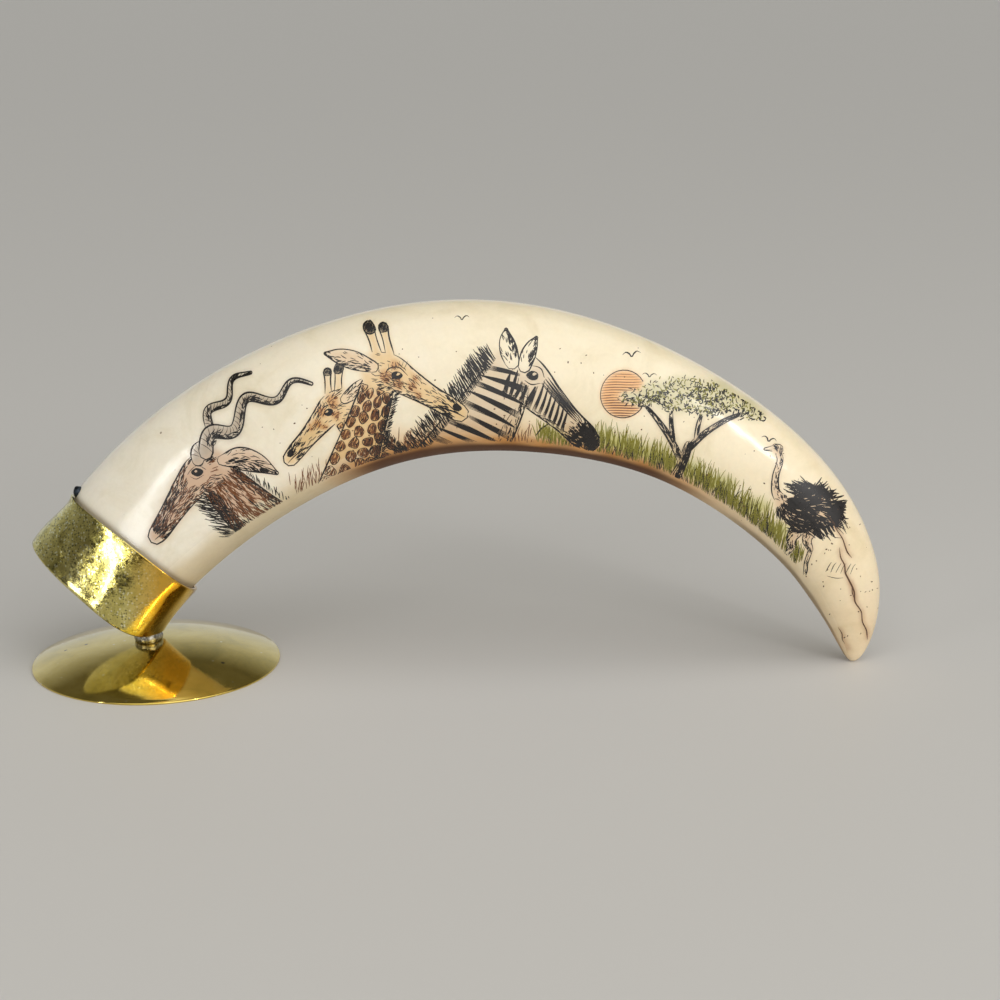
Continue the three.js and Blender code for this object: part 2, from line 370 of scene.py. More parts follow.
def make_ivory():
    """Polished ivory: the tones of the tusk's points, clouded and grained, with a few specks."""
    material, graph = new_material("ivory")
    place = graph.place()
    tone = graph.add("Attribute", {}, "Color", attribute_name="tone")
    cloud = graph.ramp(graph.noise(place, 13, 5, 0.6, 0.8),
                       [(0.3, (0.90, 0.875, 0.80)), (0.48, (0.985, 0.975, 0.945)), (0.7, (1.0, 1.0, 1.0))])
    grain = graph.levels(graph.noise(place, 1.1, 5, 0.6, 0.4), (0.3, 0.965), (0.7, 1.01))
    bare = graph.mix(1, graph.mix(1, tone, cloud, "MULTIPLY"), grain, "MULTIPLY")
    specks = graph.maths("ADD", graph.speckle(place, 2.6, 0.06, 0.22), graph.speckle(place, 5.5, 0.055, 0.14))
    rough = graph.levels(graph.noise(place, 5, 5, 0.6), (0.35, 0.13), (0.75, 0.24))
    # The tone's alpha is its gloss
    dull = graph.maths("MULTIPLY_ADD", tone.node.outputs["Alpha"], -DULLEST, DULLEST)
    graph.surface({
        "Base Color": graph.mix(graph.times(specks, 0.65), bare, srgb(96, 62, 38)),
        "Roughness": graph.maths("MAXIMUM", rough, dull),
        "IOR": 1.54,
        "Subsurface Weight": 0.12,
        "Subsurface Radius": (1.0, 0.6, 0.35),
        "Subsurface Scale": 1.5 * MM,
        "Coat Weight": 0.04,
        "Coat Roughness": 0.06,
    })
    waves = graph.maths("ADD", graph.noise(place, 9, 2), graph.times(graph.noise(place, 0.9, 4, 0.6), 0.06))
    graph.bump(waves, 0.35, 0.5)
    return material


def make_ink_material(name, colour):
    """Ink rubbed into cut lines and polished over."""
    material, graph = new_material(name)
    place = graph.place()
    rough = graph.levels(graph.noise(place, 1.5, 4), (0.3, 0.22), (0.7, 0.42))
    graph.surface({"Base Color": colour, "Roughness": rough})
    graph.bump(graph.noise(place, 0.4, 3), 0.3, 0.05)
    return material


def make_ferrule_brass():
    """Tarnished sheet brass, with fewer specks and a painted golden-orange reflection of the foot on the side
    towards the tip.
    """
    material, graph = new_material("ferrule_brass")
    place = graph.place()
    tarnish_and_reflection = graph.ramp(
        graph.noise(place, 7, 6, 0.62, 0.6),
        [(0.34, srgb(226, 214, 138)), (0.52, srgb(208, 194, 108)), (0.7, srgb(166, 158, 84))],
    )
    low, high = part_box("ferrule")
    # Painted reflection of the brass foot: the side towards the tip turns golden-orange, and the specks fade
    # there
    start, end = [low[0] + share * (high[0] - low[0]) for share in REFLECTION_SIDE]
    foot_reflection = graph.add("MapRange", {"Value": graph.split(place)[0], "From Min": start, "From Max": end})
    tarnish_and_reflection = graph.mix(foot_reflection, tarnish_and_reflection, srgb(222, 174, 58))
    unreflected = graph.maths("SUBTRACT", 1, foot_reflection)
    fine = graph.noise(place, 1.6, 6, 0.7)
    colour = graph.mix(graph.levels(fine, (0.5, 0), (0.74, 0.5)), tarnish_and_reflection, srgb(120, 118, 58))
    for coarse, small, strength, tone in (
        ((0.9, 0.3, 0.5), (0.55, 0.35, 0.4), 0.7, (62, 66, 32)),
        ((1.1, 0.22, 0.5), (0.7, 0.3, 0.35), 0.8, (246, 244, 206)),
    ):
        specks = graph.maths("MAXIMUM", graph.speckle(place, *coarse), graph.speckle(place, *small))
        colour = graph.mix(graph.times(graph.times(specks, unreflected), strength), colour, srgb(*tone))
    rough = graph.levels(fine, (0.4, 0.08), (0.66, 0.3))
    graph.brass(colour, rough, coat_roughness=0.08)
    scratches = graph.noise(graph.place(scale=(0.12, 1, 1.6)), 0.5, 2)
    height = graph.maths("ADD", graph.times(scratches, 0.09), graph.noise(place, 5, 2))
    height = graph.maths("ADD", height, graph.times(graph.noise(place, 0.7, 4, 0.7), 0.1))
    graph.bump(height, 0.5, 0.22)
    return material


def make_foot_brass():
    """Spun brass, brushed in rings round the foot's axis."""
    material, graph = new_material("foot_brass")
    low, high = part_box("foot")
    place = graph.place(shift=(-(low[0] + high[0]) / 2, -(low[1] + high[1]) / 2, 0))
    x, y, _ = graph.split(place)
    radius = graph.maths("SQRT", graph.maths("ADD", graph.times(x, x), graph.times(y, y)))
    angle = graph.maths("ARCTAN2", y, x)
    round_axis = graph.add("CombineXYZ", {0: radius, 1: graph.times(angle, 1.2 * MM)})
    colour = graph.ramp(graph.noise(place, 10, 5, 0.6, 0.5),
                        [(0.3, srgb(230, 206, 116)), (0.55, srgb(214, 188, 88)), (0.75, srgb(186, 166, 74))])
    for speck, tone in (((2.6, 0.12, 0.35), (236, 226, 190)), ((6.0, 0.08, 0.25), (48, 40, 20))):
        colour = graph.mix(graph.times(graph.speckle(place, *speck), 0.8), colour, srgb(*tone))
    rough = graph.levels(graph.noise(place, 3, 5, 0.65), (0.3, 0.05), (0.75, 0.15))
    graph.brass(colour, rough, coat_roughness=0.05)
    graph.bump(graph.noise(round_axis, 0.35, 4, 0.6), 0.2, 0.02)
    return material


def make_solder(name, bright, dull, rough_low, rough_high):
    material, graph = new_material(name)
    place = graph.place()
    graph.surface({
        "Base Color": graph.ramp(graph.noise(place, 1.1, 5, 0.6), [(0.35, dull), (0.62, bright)]),
        "Metallic": 1,
        "Roughness": graph.levels(graph.noise(place, 0.6, 4), (0.3, rough_low), (0.7, rough_high)),
    })
    graph.bump(graph.noise(place, 0.5, 4), 0.5, 0.15)
    return material


ivory = make_ivory()
ink_materials = {
    "black": make_ink_material("black_ink", srgb(30, 26, 24)),
    "brown": make_ink_material("brown_ink", srgb(116, 72, 42)),
    "green": make_ink_material("green_ink", srgb(128, 122, 44)),
    "crack": make_ink_material("crack_dirt", srgb(92, 62, 40)),
}
ferrule_brass = make_ferrule_brass()
foot_brass = make_foot_brass()
pale_solder = make_solder("pale_solder", srgb(196, 192, 180), srgb(112, 108, 96), 0.2, 0.45)
dark_solder = make_solder("blackened_solder", srgb(74, 82, 92), srgb(14, 14, 16), 0.35, 0.6)


# The picture plane: X and Z of the row's frame, in millimetres, seen from the front

def spine_point(distance, out):
    """Where the centreline, or a line beside it, runs in the picture plane."""
    distance = np.asarray(distance, float)
    out = np.asarray(out, float)
    heading = -np.radians(along(TURNED, distance / TUSK_LENGTH))
    x = np.interp(distance, spine_distance, spine_x) - out * np.sin(heading)
    z = np.interp(distance, spine_distance, spine_z) + out * np.cos(heading)
    points = leaned(np.stack([x, np.zeros_like(x), z], axis=-1), LEAN) + SHIFT
    return points[..., [0, 2]]


def cells(points):
    """Raster columns and rows of points in the picture plane."""
    at = np.round((np.asarray(points) - PLANE_LOW) / CELL).astype(int)
    return np.clip(at[..., 0], 0, PLANE_SIZE[0] - 1), np.clip(at[..., 1], 0, PLANE_SIZE[1] - 1)


def blank():
    return np.zeros(PLANE_SIZE, bool)


def inked_front():
    """Raster of the part of the picture plane that the front may be inked on."""
    mask = blank()
    distance = np.linspace(INKED_FROM, TUSK_LENGTH - INKED_SHORT, FRONT_CELLS[0])[:, None]
    share = np.linspace(*INKED_SHARES, FRONT_CELLS[1])[None, :]
    x, z = cells(spine_point(distance + 0 * share, share * half_sizes(distance)[0]))
    mask[x, z] = True
    return mask


def fill_polygon(points):
    """Raster of a closed outline, by the even-odd rule."""
    p = np.asarray(points, float)[:, :2]
    mask = blank()
    x0, z0 = cells(p.min(axis=0))
    x1, z1 = cells(p.max(axis=0))
    xs = PLANE_LOW[0] + CELL * np.arange(x0, x1 + 1)
    zs = PLANE_LOW[1] + CELL * np.arange(z0, z1 + 1)
    inside = np.zeros((len(xs), len(zs)), bool)
    for (ax, az), (bx, bz) in zip(p, np.roll(p, -1, axis=0)):
        rows = (zs >= min(az, bz)) & (zs < max(az, bz))
        if rows.any():
            cross = ax + (zs[rows] - az) * (bx - ax) / (bz - az)
            inside[:, rows] ^= xs[:, None] < cross[None, :]
    mask[x0:x1 + 1, z0:z1 + 1] = inside
    return mask


def blurred(a, soft):
    """Two passes of a box filter each way."""
    half = max(1, int(soft / CELL))
    for axis in (0, 1, 0, 1):
        pad = [(0, 0), (0, 0)]
        pad[axis] = (half + 1, half)
        total = np.cumsum(np.pad(a, pad, mode="edge"), axis=axis)
        high = np.take(total, np.arange(2 * half + 1, total.shape[axis]), axis=axis)
        low = np.take(total, np.arange(0, total.shape[axis] - 2 * half - 1), axis=axis)
        a = (high - low) / (2 * half + 1)
    return a


def smooth_line(points, step=0.3, closed=False):
    """A smooth line through points, which may carry a third value such as a half width."""
    p = np.asarray(points, float)
    if closed:
        p = np.concatenate([p[-1:], p, p[:2]])
    else:
        p = np.concatenate([2 * p[:1] - p[1:2], p, 2 * p[-1:] - p[-2:-1]])
    out = []
    for a, b, c, d in zip(p[:-3], p[1:-2], p[2:-1], p[3:]):
        count = max(2, int(np.ceil(np.linalg.norm((c - b)[:2]) / step)))
        out.append(between(a, b, c, d, (np.arange(count) / count)[:, None]))
    out.append(p[-2:-1])
    return np.concatenate(out)


def runs(seen):
    """The first and last place of each run of true values."""
    starts = np.flatnonzero(seen & ~np.concatenate([[False], seen[:-1]]))
    ends = np.flatnonzero(seen & ~np.concatenate([seen[1:], [False]]))
    return zip(starts, ends)


def curled(root, way, angle, curl, reach):
    """Short lines that leave their roots at an angle to the way, and curl on."""
    bend = angle[:, None] + curl[:, None] * np.linspace(0, 1, STROKE_POINTS)
    c, s = np.cos(bend), np.sin(bend)
    step = np.stack([way[:, :1] * c - way[:, 1:] * s, way[:, :1] * s + way[:, 1:] * c], axis=2)
    return root[:, None] + np.cumsum(step * (reach / (STROKE_POINTS - 1))[:, None, None], axis=1)


def ellipse(x, z, wide, tall, turn):
    """Points at these angles round an ellipse."""
    return np.stack([x + wide * np.cos(turn), z + tall * np.sin(turn)], axis=1)


class Place:
    """Where a figure drawn in a box of 100 by 100 stands on the tusk, upright but for its turn."""

    def __init__(self, distance, out, size, turn=0.0, flip=False):
        self.middle = spine_point(distance, out)
        self.scale = size / 100
        self.flip = -1 if flip else 1
        c, s = math.cos(math.radians(turn)), math.sin(math.radians(turn))
        self.turn = np.array([[c, s], [-s, c]])

    def __call__(self, points):
        p = np.array(points, float)
        xy = (p[:, :2] - 50) * [self.flip, 1] * self.scale
        p[:, :2] = xy @ self.turn + self.middle
        p[:, 2:] *= self.scale
        return p


class Drawing:
    """Ink strokes, kept by part and colour, and the colours rubbed in under them."""

    def __init__(self):
        self.ink = {}
        self.part = "left"
        self.front = inked_front()
        self.hidden = blank()
        self.paint = np.zeros(PLANE_SIZE + (4,))

    def visible(self, points, within=None):
        x, z = cells(points)
        seen = self.front[x, z] & ~self.hidden[x, z]
        return seen if within is None else seen & within[x, z]

    def keep(self, colour, lines, widths):
        batches = self.ink.setdefault((self.part, colour), [])
        if len(lines):
            batches.append((lines, widths))

    def strokes(self, lines, width, colour="black", within=None, blunt=0.25):
        """Many short strokes of equal point count, each cut to its longest visible run."""
        n, k = lines.shape[:2]
        if n == 0:
            return
        width = np.broadcast_to(np.asarray(width, float), (n,))
        seen = self.visible(lines, within)
        run = np.zeros((n, k), int)
        run[:, 0] = seen[:, 0]
        for i in range(1, k):
            run[:, i] = (run[:, i - 1] + 1) * seen[:, i]
        end, length = run.argmax(axis=1), run.max(axis=1)
        kept = length >= SHORTEST_RUN
        lines, width, end, length = lines[kept], width[kept], end[kept], length[kept]
        t = (end - length + 1)[:, None] + (length - 1)[:, None] * np.linspace(0, 1, STROKE_POINTS)[None, :]
        i = np.minimum(t.astype(int), k - 2)
        f = (t - i)[..., None]
        rows = np.arange(len(lines))[:, None]
        cut = lines[rows, i] * (1 - f) + lines[rows, i + 1] * f
        swell = blunt + (1 - blunt) * np.sin(np.pi * np.linspace(0.02, 0.98, STROKE_POINTS)) ** 0.7
        self.keep(colour, cut, width[:, None] * swell[None, :])

    def line(self, points, width, colour="black", within=None, blunt=0.35):
        """One long line, broken where it is hidden. It swells and thins a little as a hand-cut line does."""
        p = np.asarray(points, float)[:, :2]
        for first, last in runs(self.visible(p, within)):
            if last - first < SHORTEST_RUN:
                continue
            run = p[first:last + 1]
            t = np.linspace(0, 1, len(run))
            fade = np.minimum(1, np.minimum(t, 1 - t) * len(run) / LINE_FADE)
            wave = 1 + LINE_WAVE * np.sin(t * len(run) * 0.09 + rng.uniform(0, 6))
            self.keep(colour, run[None], (width * ((blunt + (1 - blunt) * fade) * wave))[None])

    def curve(self, points, width, colour="black", within=None, blunt=0.35):
        """A long line, smooth through a few points."""
        self.line(smooth_line(points), width, colour, within, blunt)

    def wash(self, mask, colour, strength, soft=0.6):
        """Colour rubbed into a part of the picture, with a soft edge."""
        if not mask.any():
            return
        x, z = np.nonzero(mask)
        pad = int(soft * 4 / CELL) + 2
        x0, x1 = max(x.min() - pad, 0), min(x.max() + pad, PLANE_SIZE[0])
        z0, z1 = max(z.min() - pad, 0), min(z.max() + pad, PLANE_SIZE[1])
        cover = blurred((mask & ~self.hidden)[x0:x1, z0:z1].astype(float), soft) * strength
        part = self.paint[x0:x1, z0:z1]
        part *= (1 - cover)[..., None]
        part[..., :3] += np.array(srgb(*colour)[:3]) * cover[..., None]
        part[..., 3] += cover

    def hide(self, mask):
        self.hidden |= mask

    @contextlib.contextmanager
    def sparing(self, mask):
        """Keeps a part of the picture bare for as long as the block lasts."""
        hidden = self.hidden
        self.hidden = hidden | mask
        yield
        self.hidden = hidden


class Limb:
    """A curved form with a changing half width, as a neck, a leg or a horn."""

    def __init__(self, place, knots):
        path = smooth_line(place(knots), step=0.25)
        self.middle, self.half = path[:, :2], np.maximum(path[:, 2], 0.03)
        self.way = np.gradient(self.middle, axis=0)
        self.way /= np.linalg.norm(self.way, axis=1, keepdims=True) + 1e-9
        self.normal = np.stack([-self.way[:, 1], self.way[:, 0]], axis=1)
        self.length = np.linalg.norm(np.diff(self.middle, axis=0), axis=1).sum()

    def at(self, u, v):
        """Points by share of the length and of the half width, left of the way positive."""
        i = np.clip(np.asarray(u) * (len(self.middle) - 1), 0, len(self.middle) - 1.001)
        j = i.astype(int)
        f = (i - j)[..., None]
        mix = lambda a: a[j] * (1 - f) + a[j + 1] * f
        half = mix(self.half[:, None])
        return mix(self.middle) + mix(self.normal) * half * np.asarray(v)[..., None]

    def ways(self, u):
        return self.way[np.clip((u * (len(self.middle) - 1)).astype(int), 0, len(self.middle) - 1)]

    def cap(self, end, side):
        """Points of the round end, from one side of the limb to the other."""
        turn = np.linspace(0, np.pi, 9)[1:-1, None]
        across = self.normal[end] * np.cos(turn) * side + self.way[end] * np.sin(turn) * side
        return self.middle[end] + self.half[end] * across

    def outline(self):
        left = self.middle + self.normal * self.half[:, None]
        right = (self.middle - self.normal * self.half[:, None])[::-1]
        return np.concatenate([left, self.cap(-1, 1), right, self.cap(0, -1)])

    def gap(self, points):
        """How far points stand off the limb, less than 0 inside it."""
        return (np.linalg.norm(points[:, None] - self.middle[None], axis=2) - self.half[None]).min(axis=1)


class Figure:
    """Limbs that together make one drawn animal or tree."""

    def __init__(self, drawing, place, **limbs):
        self.drawing, self.place = drawing, place
        self.limbs = {name: Limb(place, knots) for name, knots in limbs.items()}
        self.mask = blank()
        for limb in self.limbs.values():
            self.mask |= fill_polygon(limb.outline())

    def outline(self, width, skip=()):
        """The edge of each limb, left open where another limb covers it."""
        for name, limb in self.limbs.items():
            if name in skip:
                continue
            edge = limb.outline()
            edge = np.concatenate([edge, edge[:1]])
            bare = np.ones(len(edge), bool)
            for other, form in self.limbs.items():
                if other != name:
                    bare &= form.gap(edge) > -CELL
            for first, last in runs(bare):
                if last - first > SHORTEST_RUN:
                    self.drawing.line(edge[first:last + 1], width)

    def fur(self, name, gap, length, shade=1.0, width=0.2, lean=0.35, colour="black", back=False,
            inside=True):
        """Short hairs that lie along a limb, thicker where the shade is deeper."""
        limb = self.limbs[name]
        count = int(limb.length * limb.half.mean() * 2 / gap ** 2) + 1
        us, vs = rng.uniform(0, 1, count), rng.uniform(-1, 1, count)
        depth = shade(us, vs) if callable(shade) else np.full(count, shade)
        keep = rng.uniform(size=count) < depth
        us, vs, depth = us[keep], vs[keep], depth[keep]
        side = -1 if back else 1
        angle = lean * vs * side + rng.normal(0, FUR_ANGLE, len(us))
        curl = rng.normal(0, FUR_CURL, len(us))
        reach = length * rng.uniform(*FUR_LENGTHS, len(us))
        lines = curled(limb.at(us, vs), limb.ways(us) * side, angle, curl, reach)
        self.drawing.strokes(lines, width * (0.75 + 0.5 * depth), colour, self.mask if inside else None)

    def mane(self, name, side, u, count, length, tilt, rows, width, curl=0.3):
        """Hairs that stand off one side of a limb."""
        limb = self.limbs[name]
        for row in range(rows):
            us = np.linspace(*u, count) + rng.normal(0, 0.3 / count, count)
            root = limb.at(us, np.full(count, side * (1.02 - 0.28 * row)))
            angle = side * (np.pi / 2 - tilt) + rng.normal(0, MANE_ANGLE, count)
            bend = rng.normal(-side * curl, MANE_CURL, count)
            reach = length * rng.uniform(*MANE_LENGTHS, count)
            self.drawing.strokes(curled(root, limb.ways(us), angle, bend, reach), width)

    def stripe(self, name, u, wide, v=(-1, 1), thin_at=1, slant=0.0, pen=0.26):
        """A dark stripe across a limb, that thins towards one side, filled with close strokes."""
        limb = self.limbs[name]
        vs = np.linspace(*v, STRIPE_POINTS)
        share = (vs - v[0]) / (v[1] - v[0])
        profile = np.clip(1 - share if thin_at > 0 else share, 0, 1) ** 0.55
        wave = 0.25 * np.sin(share * 5 + rng.uniform(0, 6))
        for j in np.linspace(-0.5, 0.5, max(2, int(wide / (pen * 0.75)))):
            shift = (j * profile * wide + slant * share + wave * 0.3) / limb.length
            mid = u + shift + STRIPE_BOW * (1 - vs ** 2)
            self.drawing.line(limb.at(np.clip(mid, 0, 1), vs), pen, within=self.mask, blunt=0.2)

    def curve(self, points, width):
        self.drawing.curve(self.place(points), width)

    def shape(self, points):
        return smooth_line(self.place(points), closed=True)

    def filled(self, points):
        return fill_polygon(self.shape(points))

    def dark(self, points, pen=0.24, gap=0.2, angle=0.6):
        """A closed form in the figure's box, filled with close lines."""
        outline = self.shape(points)
        mask = fill_polygon(outline)
        low, high = outline.min(axis=0)[:2], outline.max(axis=0)[:2]
        middle, reach = (low + high) / 2, np.linalg.norm(high - low) / 2
        c, s = math.cos(angle), math.sin(angle)
        for off in np.arange(-reach, reach, gap):
            start = middle + np.array([-s, c]) * off - np.array([c, s]) * reach
            t = np.linspace(0, 2 * reach, max(8, int(2 * reach / CELL)))[:, None]
            self.drawing.line(start + t * [c, s], pen, within=mask, blunt=0.6)
        self.drawing.line(np.concatenate([outline, outline[:1]]), pen, blunt=0.8)
        return mask

    def eye(self, points, glint):
        """A dark eye with a glint of bare ivory in it."""
        round_glint = ellipse(*glint, 0.8, 0.8, np.linspace(0, 2 * np.pi, 12))
        with self.drawing.sparing(fill_polygon(self.place(round_glint))):
            return self.dark(points, gap=0.13)

    def finish(self, colour=None, strength=0.0, soft=0.6):
        """Rubs in a colour, and hides what is drawn behind the figure later."""
        if colour:
            self.drawing.wash(self.mask, colour, strength, soft)
        self.drawing.hide(self.mask)


def under(base, more, low, high, past=1.0, extra=0.0):
    """Shade that deepens towards a limb's right side, and by extra past a share of its length."""
    return lambda u, v: base + more * smoothstep(-v, low, high) + extra * (u > past)


def one_side(base, more, edge):
    """Shade that is deeper on the right of an edge."""
    return lambda u, v: base + more * (v < edge)


# The picture: a savanna, with a kudu, giraffes, a zebra, an acacia and an ostrich

def spiral_horn(root, tip, half, phase, swing):
    """Knots of a horn that winds two and a half times between its root and its tip."""
    share = np.linspace(0, 1, 40)[:, None]
    root, tip = np.array(root), np.array(tip)
    way = (tip - root) / np.linalg.norm(tip - root)
    side = np.array([-way[1], way[0]])
    wave = np.sin(share * 2.5 * 2 * np.pi + phase) * (1 - 0.35 * share) + 1.6 * np.sin(np.pi * share)
    middle = root + (tip - root) * share + side * (swing * wave)
    return np.concatenate([middle, half * (1 - 0.8 * share)], axis=1)


def kudu(drawing):
    """A kudu's head in profile, looking left, with spiral horns."""
    place = Place(40, -1.5, 40, turn=8)
    near = Figure(drawing, place, horn=spiral_horn((57, 73), (126, 106), 4.4, 0.1, 5.6))
    far = Figure(drawing, place, horn=spiral_horn((53.5, 68), (88, 116), 3.7, 0.7, 4.4))
    head = Figure(
        drawing, place,
        neck=[(96, 6, 21), (86, 24, 18), (73, 43, 15), (62, 58, 12)],
        skull=[(60, 64, 11.5), (51, 61, 11), (41, 52, 8.6), (30, 40, 6.6), (22, 31, 5.8), (18.5, 27.5, 5)],
    )
    ear = Figure(drawing, place, ear=[(66, 68, 3), (77, 68, 6.4), (88, 64, 5.4), (98, 57, 1)])
    ear.outline(0.3)
    ear.fur("ear", 0.55, 1.8, one_side(0.25, 0.75, 0.1))
    drawing.line(ear.limbs["ear"].at(np.linspace(0.1, 0.9, 20), np.linspace(-0.3, 0, 20)), 0.22)
    ear.finish((196, 140, 96), 0.5)
    for figure in (near, far):
        figure.outline(0.34)
        v = np.linspace(-0.95, 0.95, 12)
        for u in np.linspace(0.02, 0.93, 34):
            ridge = figure.limbs["horn"].at(np.clip(u + 0.022 * v + 0.012 * (1 - v ** 2), 0, 1), v)
            drawing.line(ridge, 0.17, within=figure.mask)
        figure.fur("horn", 0.42, 1.5, one_side(0, 0.9, -0.1), lean=0.1)
        figure.finish((122, 84, 56), 0.55)
    head.outline(0.34)
    # Eye, nostril, mouth
    eye = head.eye([(46, 62.5), (50, 64.6), (53.4, 62.6), (50, 60.2)], (49, 63.2))
    head.curve([(43.6, 61.6), (47, 64.8), (51, 66.2), (55.4, 63.6)], 0.26)
    head.curve([(45, 60.4), (48.6, 58.6), (53.6, 60.6)], 0.2)
    head.dark([(17.2, 31.4), (20, 33.6), (22.4, 32.6), (20.2, 30.4)], gap=0.16)
    head.curve([(17.6, 25.4), (22, 28.2), (27.6, 31.6), (31, 33)], 0.28)
    bare = head.filled([(44, 66), (50, 70), (57, 66), (56, 58), (49, 55), (43, 59)])
    both_edges = lambda u, v: 0.25 + 0.75 * smoothstep(np.abs(v + 0.1), 0.35, 1.0)
    with drawing.sparing(bare | eye):
        head.fur("skull", 0.5, 1.7, under(0.35, 0.6, -0.1, 0.9, 0.82, 0.35), 0.19, 0.3, back=True)
        head.fur("skull", 0.62, 1.5, 0.7, colour="brown", back=True)
        head.fur("neck", 0.62, 2.6, both_edges, 0.22, 0.25, back=True)
        head.fur("neck", 0.75, 2.4, 0.8, 0.22, colour="brown", back=True)
        # The hair of the nape, and a beard that hangs from the throat
        head.mane("neck", 1, (0.05, 0.92), 70, length=3.8, tilt=0.8, rows=3, width=0.24)
        head.mane("neck", -1, (0.1, 0.98), 46, length=2.2, tilt=0.8, rows=2, width=0.22)
    drawing.wash(head.mask, (186, 128, 82), 0.62, soft=0.8)
    cheek = head.filled([(18, 24), (30, 33), (40, 42), (47, 50), (56, 50), (42, 36), (24, 22)])
    drawing.wash(cheek, (236, 222, 196), 0.5)
    head.finish()


def six_sided(spread):
    """Angles of a patch's uneven corners."""
    return np.linspace(0, 2 * np.pi, 7)[:-1] + rng.normal(0, spread, 6)


def giraffe(drawing, place):
    """A giraffe's head and neck in profile, looking left in its own box."""
    head = Figure(
        drawing, place,
        neck=[(86, -2, 17), (77, 20, 13.5), (67, 42, 11), (59, 60, 9.4)],
        skull=[(58, 70, 9.8), (50, 68, 9.4), (40, 61, 7.4), (29, 53, 5.8), (20, 46.6, 5.6), (14, 42, 5)],
        knob=[(57, 78, 2.6), (59, 86, 2.2), (61, 92.5, 3)],
        far_knob=[(50, 78, 2.3), (51.5, 86, 1.9), (52.5, 91.5, 2.6)],
    )
    ear = Figure(drawing, place, ear=[(60, 72, 3), (70, 76, 4.8), (79, 79, 3.8), (87, 81, 0.6)])
    ear.outline(0.28)
    ear.fur("ear", 0.5, 1.4, lambda u, v: 0.3 + 0.6 * (v > 0), 0.18)
    ear.finish((210, 160, 104), 0.5)
    head.outline(0.32)
    eye = head.eye([(44, 66.2), (46.8, 68.2), (49.8, 67.4), (49.6, 64.8), (46.2, 64.2)], (46.4, 66.9))
    head.curve([(41, 65.6), (45.6, 70.4), (51.6, 70.2), (54, 66)], 0.26)
    for k in range(6):
        lash = np.array([43 + 1.7 * k, 69.2 + 0.5 * math.sin(k)])
        head.curve([lash, lash + [-1.6 + 0.3 * k, 2.2], lash + [-2.6 + 0.5 * k, 4.2]], 0.17)
    head.dark([(12.6, 44.6), (15.4, 47.6), (17.4, 46), (15, 43.4)], gap=0.15)
    head.curve([(11.4, 39.4), (17, 43), (24, 46), (31, 47.6)], 0.28)
    head.dark([(57, 91), (60, 95.6), (64, 94), (63.4, 90.4), (60, 89)], gap=0.22, angle=1.2)
    head.dark([(49.6, 90.2), (52, 94.2), (55.2, 93), (54.6, 89.6)], gap=0.22, angle=1.2)
    patches = blank()
    neck, skull = head.limbs["neck"], head.limbs["skull"]
    for row in range(9):
        for column in range(4):
            u = 0.05 + row * 0.112 + 0.056 * (column % 2) + rng.normal(0, 0.008)
            v = -0.78 + column * 0.52 + rng.normal(0, 0.05)
            turn = six_sided(0.16)
            reach = 1 + rng.normal(0, 0.08, 6)
            edge = neck.at(np.clip(u + 0.05 * np.cos(turn) * reach, 0, 1),
                           np.clip(v + 0.23 * np.sin(turn) * reach, -0.98, 0.98))
            edge = smooth_line(edge, closed=True, step=0.2)
            drawing.line(edge, 0.2, within=head.mask, blunt=0.8)
            patches |= fill_polygon(edge)
    for u, v, size in ((0.1, -0.3, 1.5), (0.16, 0.5, 1.1), (0.28, -0.45, 1.3), (0.42, -0.1, 1.1),
                       (0.4, 0.6, 0.8), (0.52, -0.5, 0.9)):
        corners = size * ellipse(0, 0, 1, 1, six_sided(0.2)) * rng.uniform(0.8, 1.1, (6, 1))
        edge = skull.at(np.array([u]), np.array([v])) + corners
        patches |= fill_polygon(smooth_line(edge, closed=True, step=0.2))
    patches &= head.mask
    whole, head.mask = head.mask, patches
    head.fur("neck", 0.42, 1.5, under(0.35, 0.6, -0.2, 1), 0.18, 0.2, back=True)
    head.fur("neck", 0.5, 1.7, lean=0.2, colour="brown", back=True)
    head.fur("skull", 0.42, 1.2, 0.6, 0.18, colour="brown", back=True)
    head.mask = whole
    with drawing.sparing(eye):
        head.fur("skull", 0.52, 1.4, under(0.22, 0.6, 0, 1, 0.8, 0.5), 0.18, back=True)
        head.fur("neck", 0.7, 1.6, under(0, 0.9, 0.45, 1), 0.2, 0.2, back=True)
        head.mane("neck", -1, (0.02, 1), 110, length=1.6, tilt=0.75, rows=2, width=0.22, curl=0.1)
    drawing.wash(head.mask, (222, 178, 104), 0.66, soft=0.7)
    drawing.wash(patches, (196, 132, 66), 0.75, soft=0.3)
    head.finish()


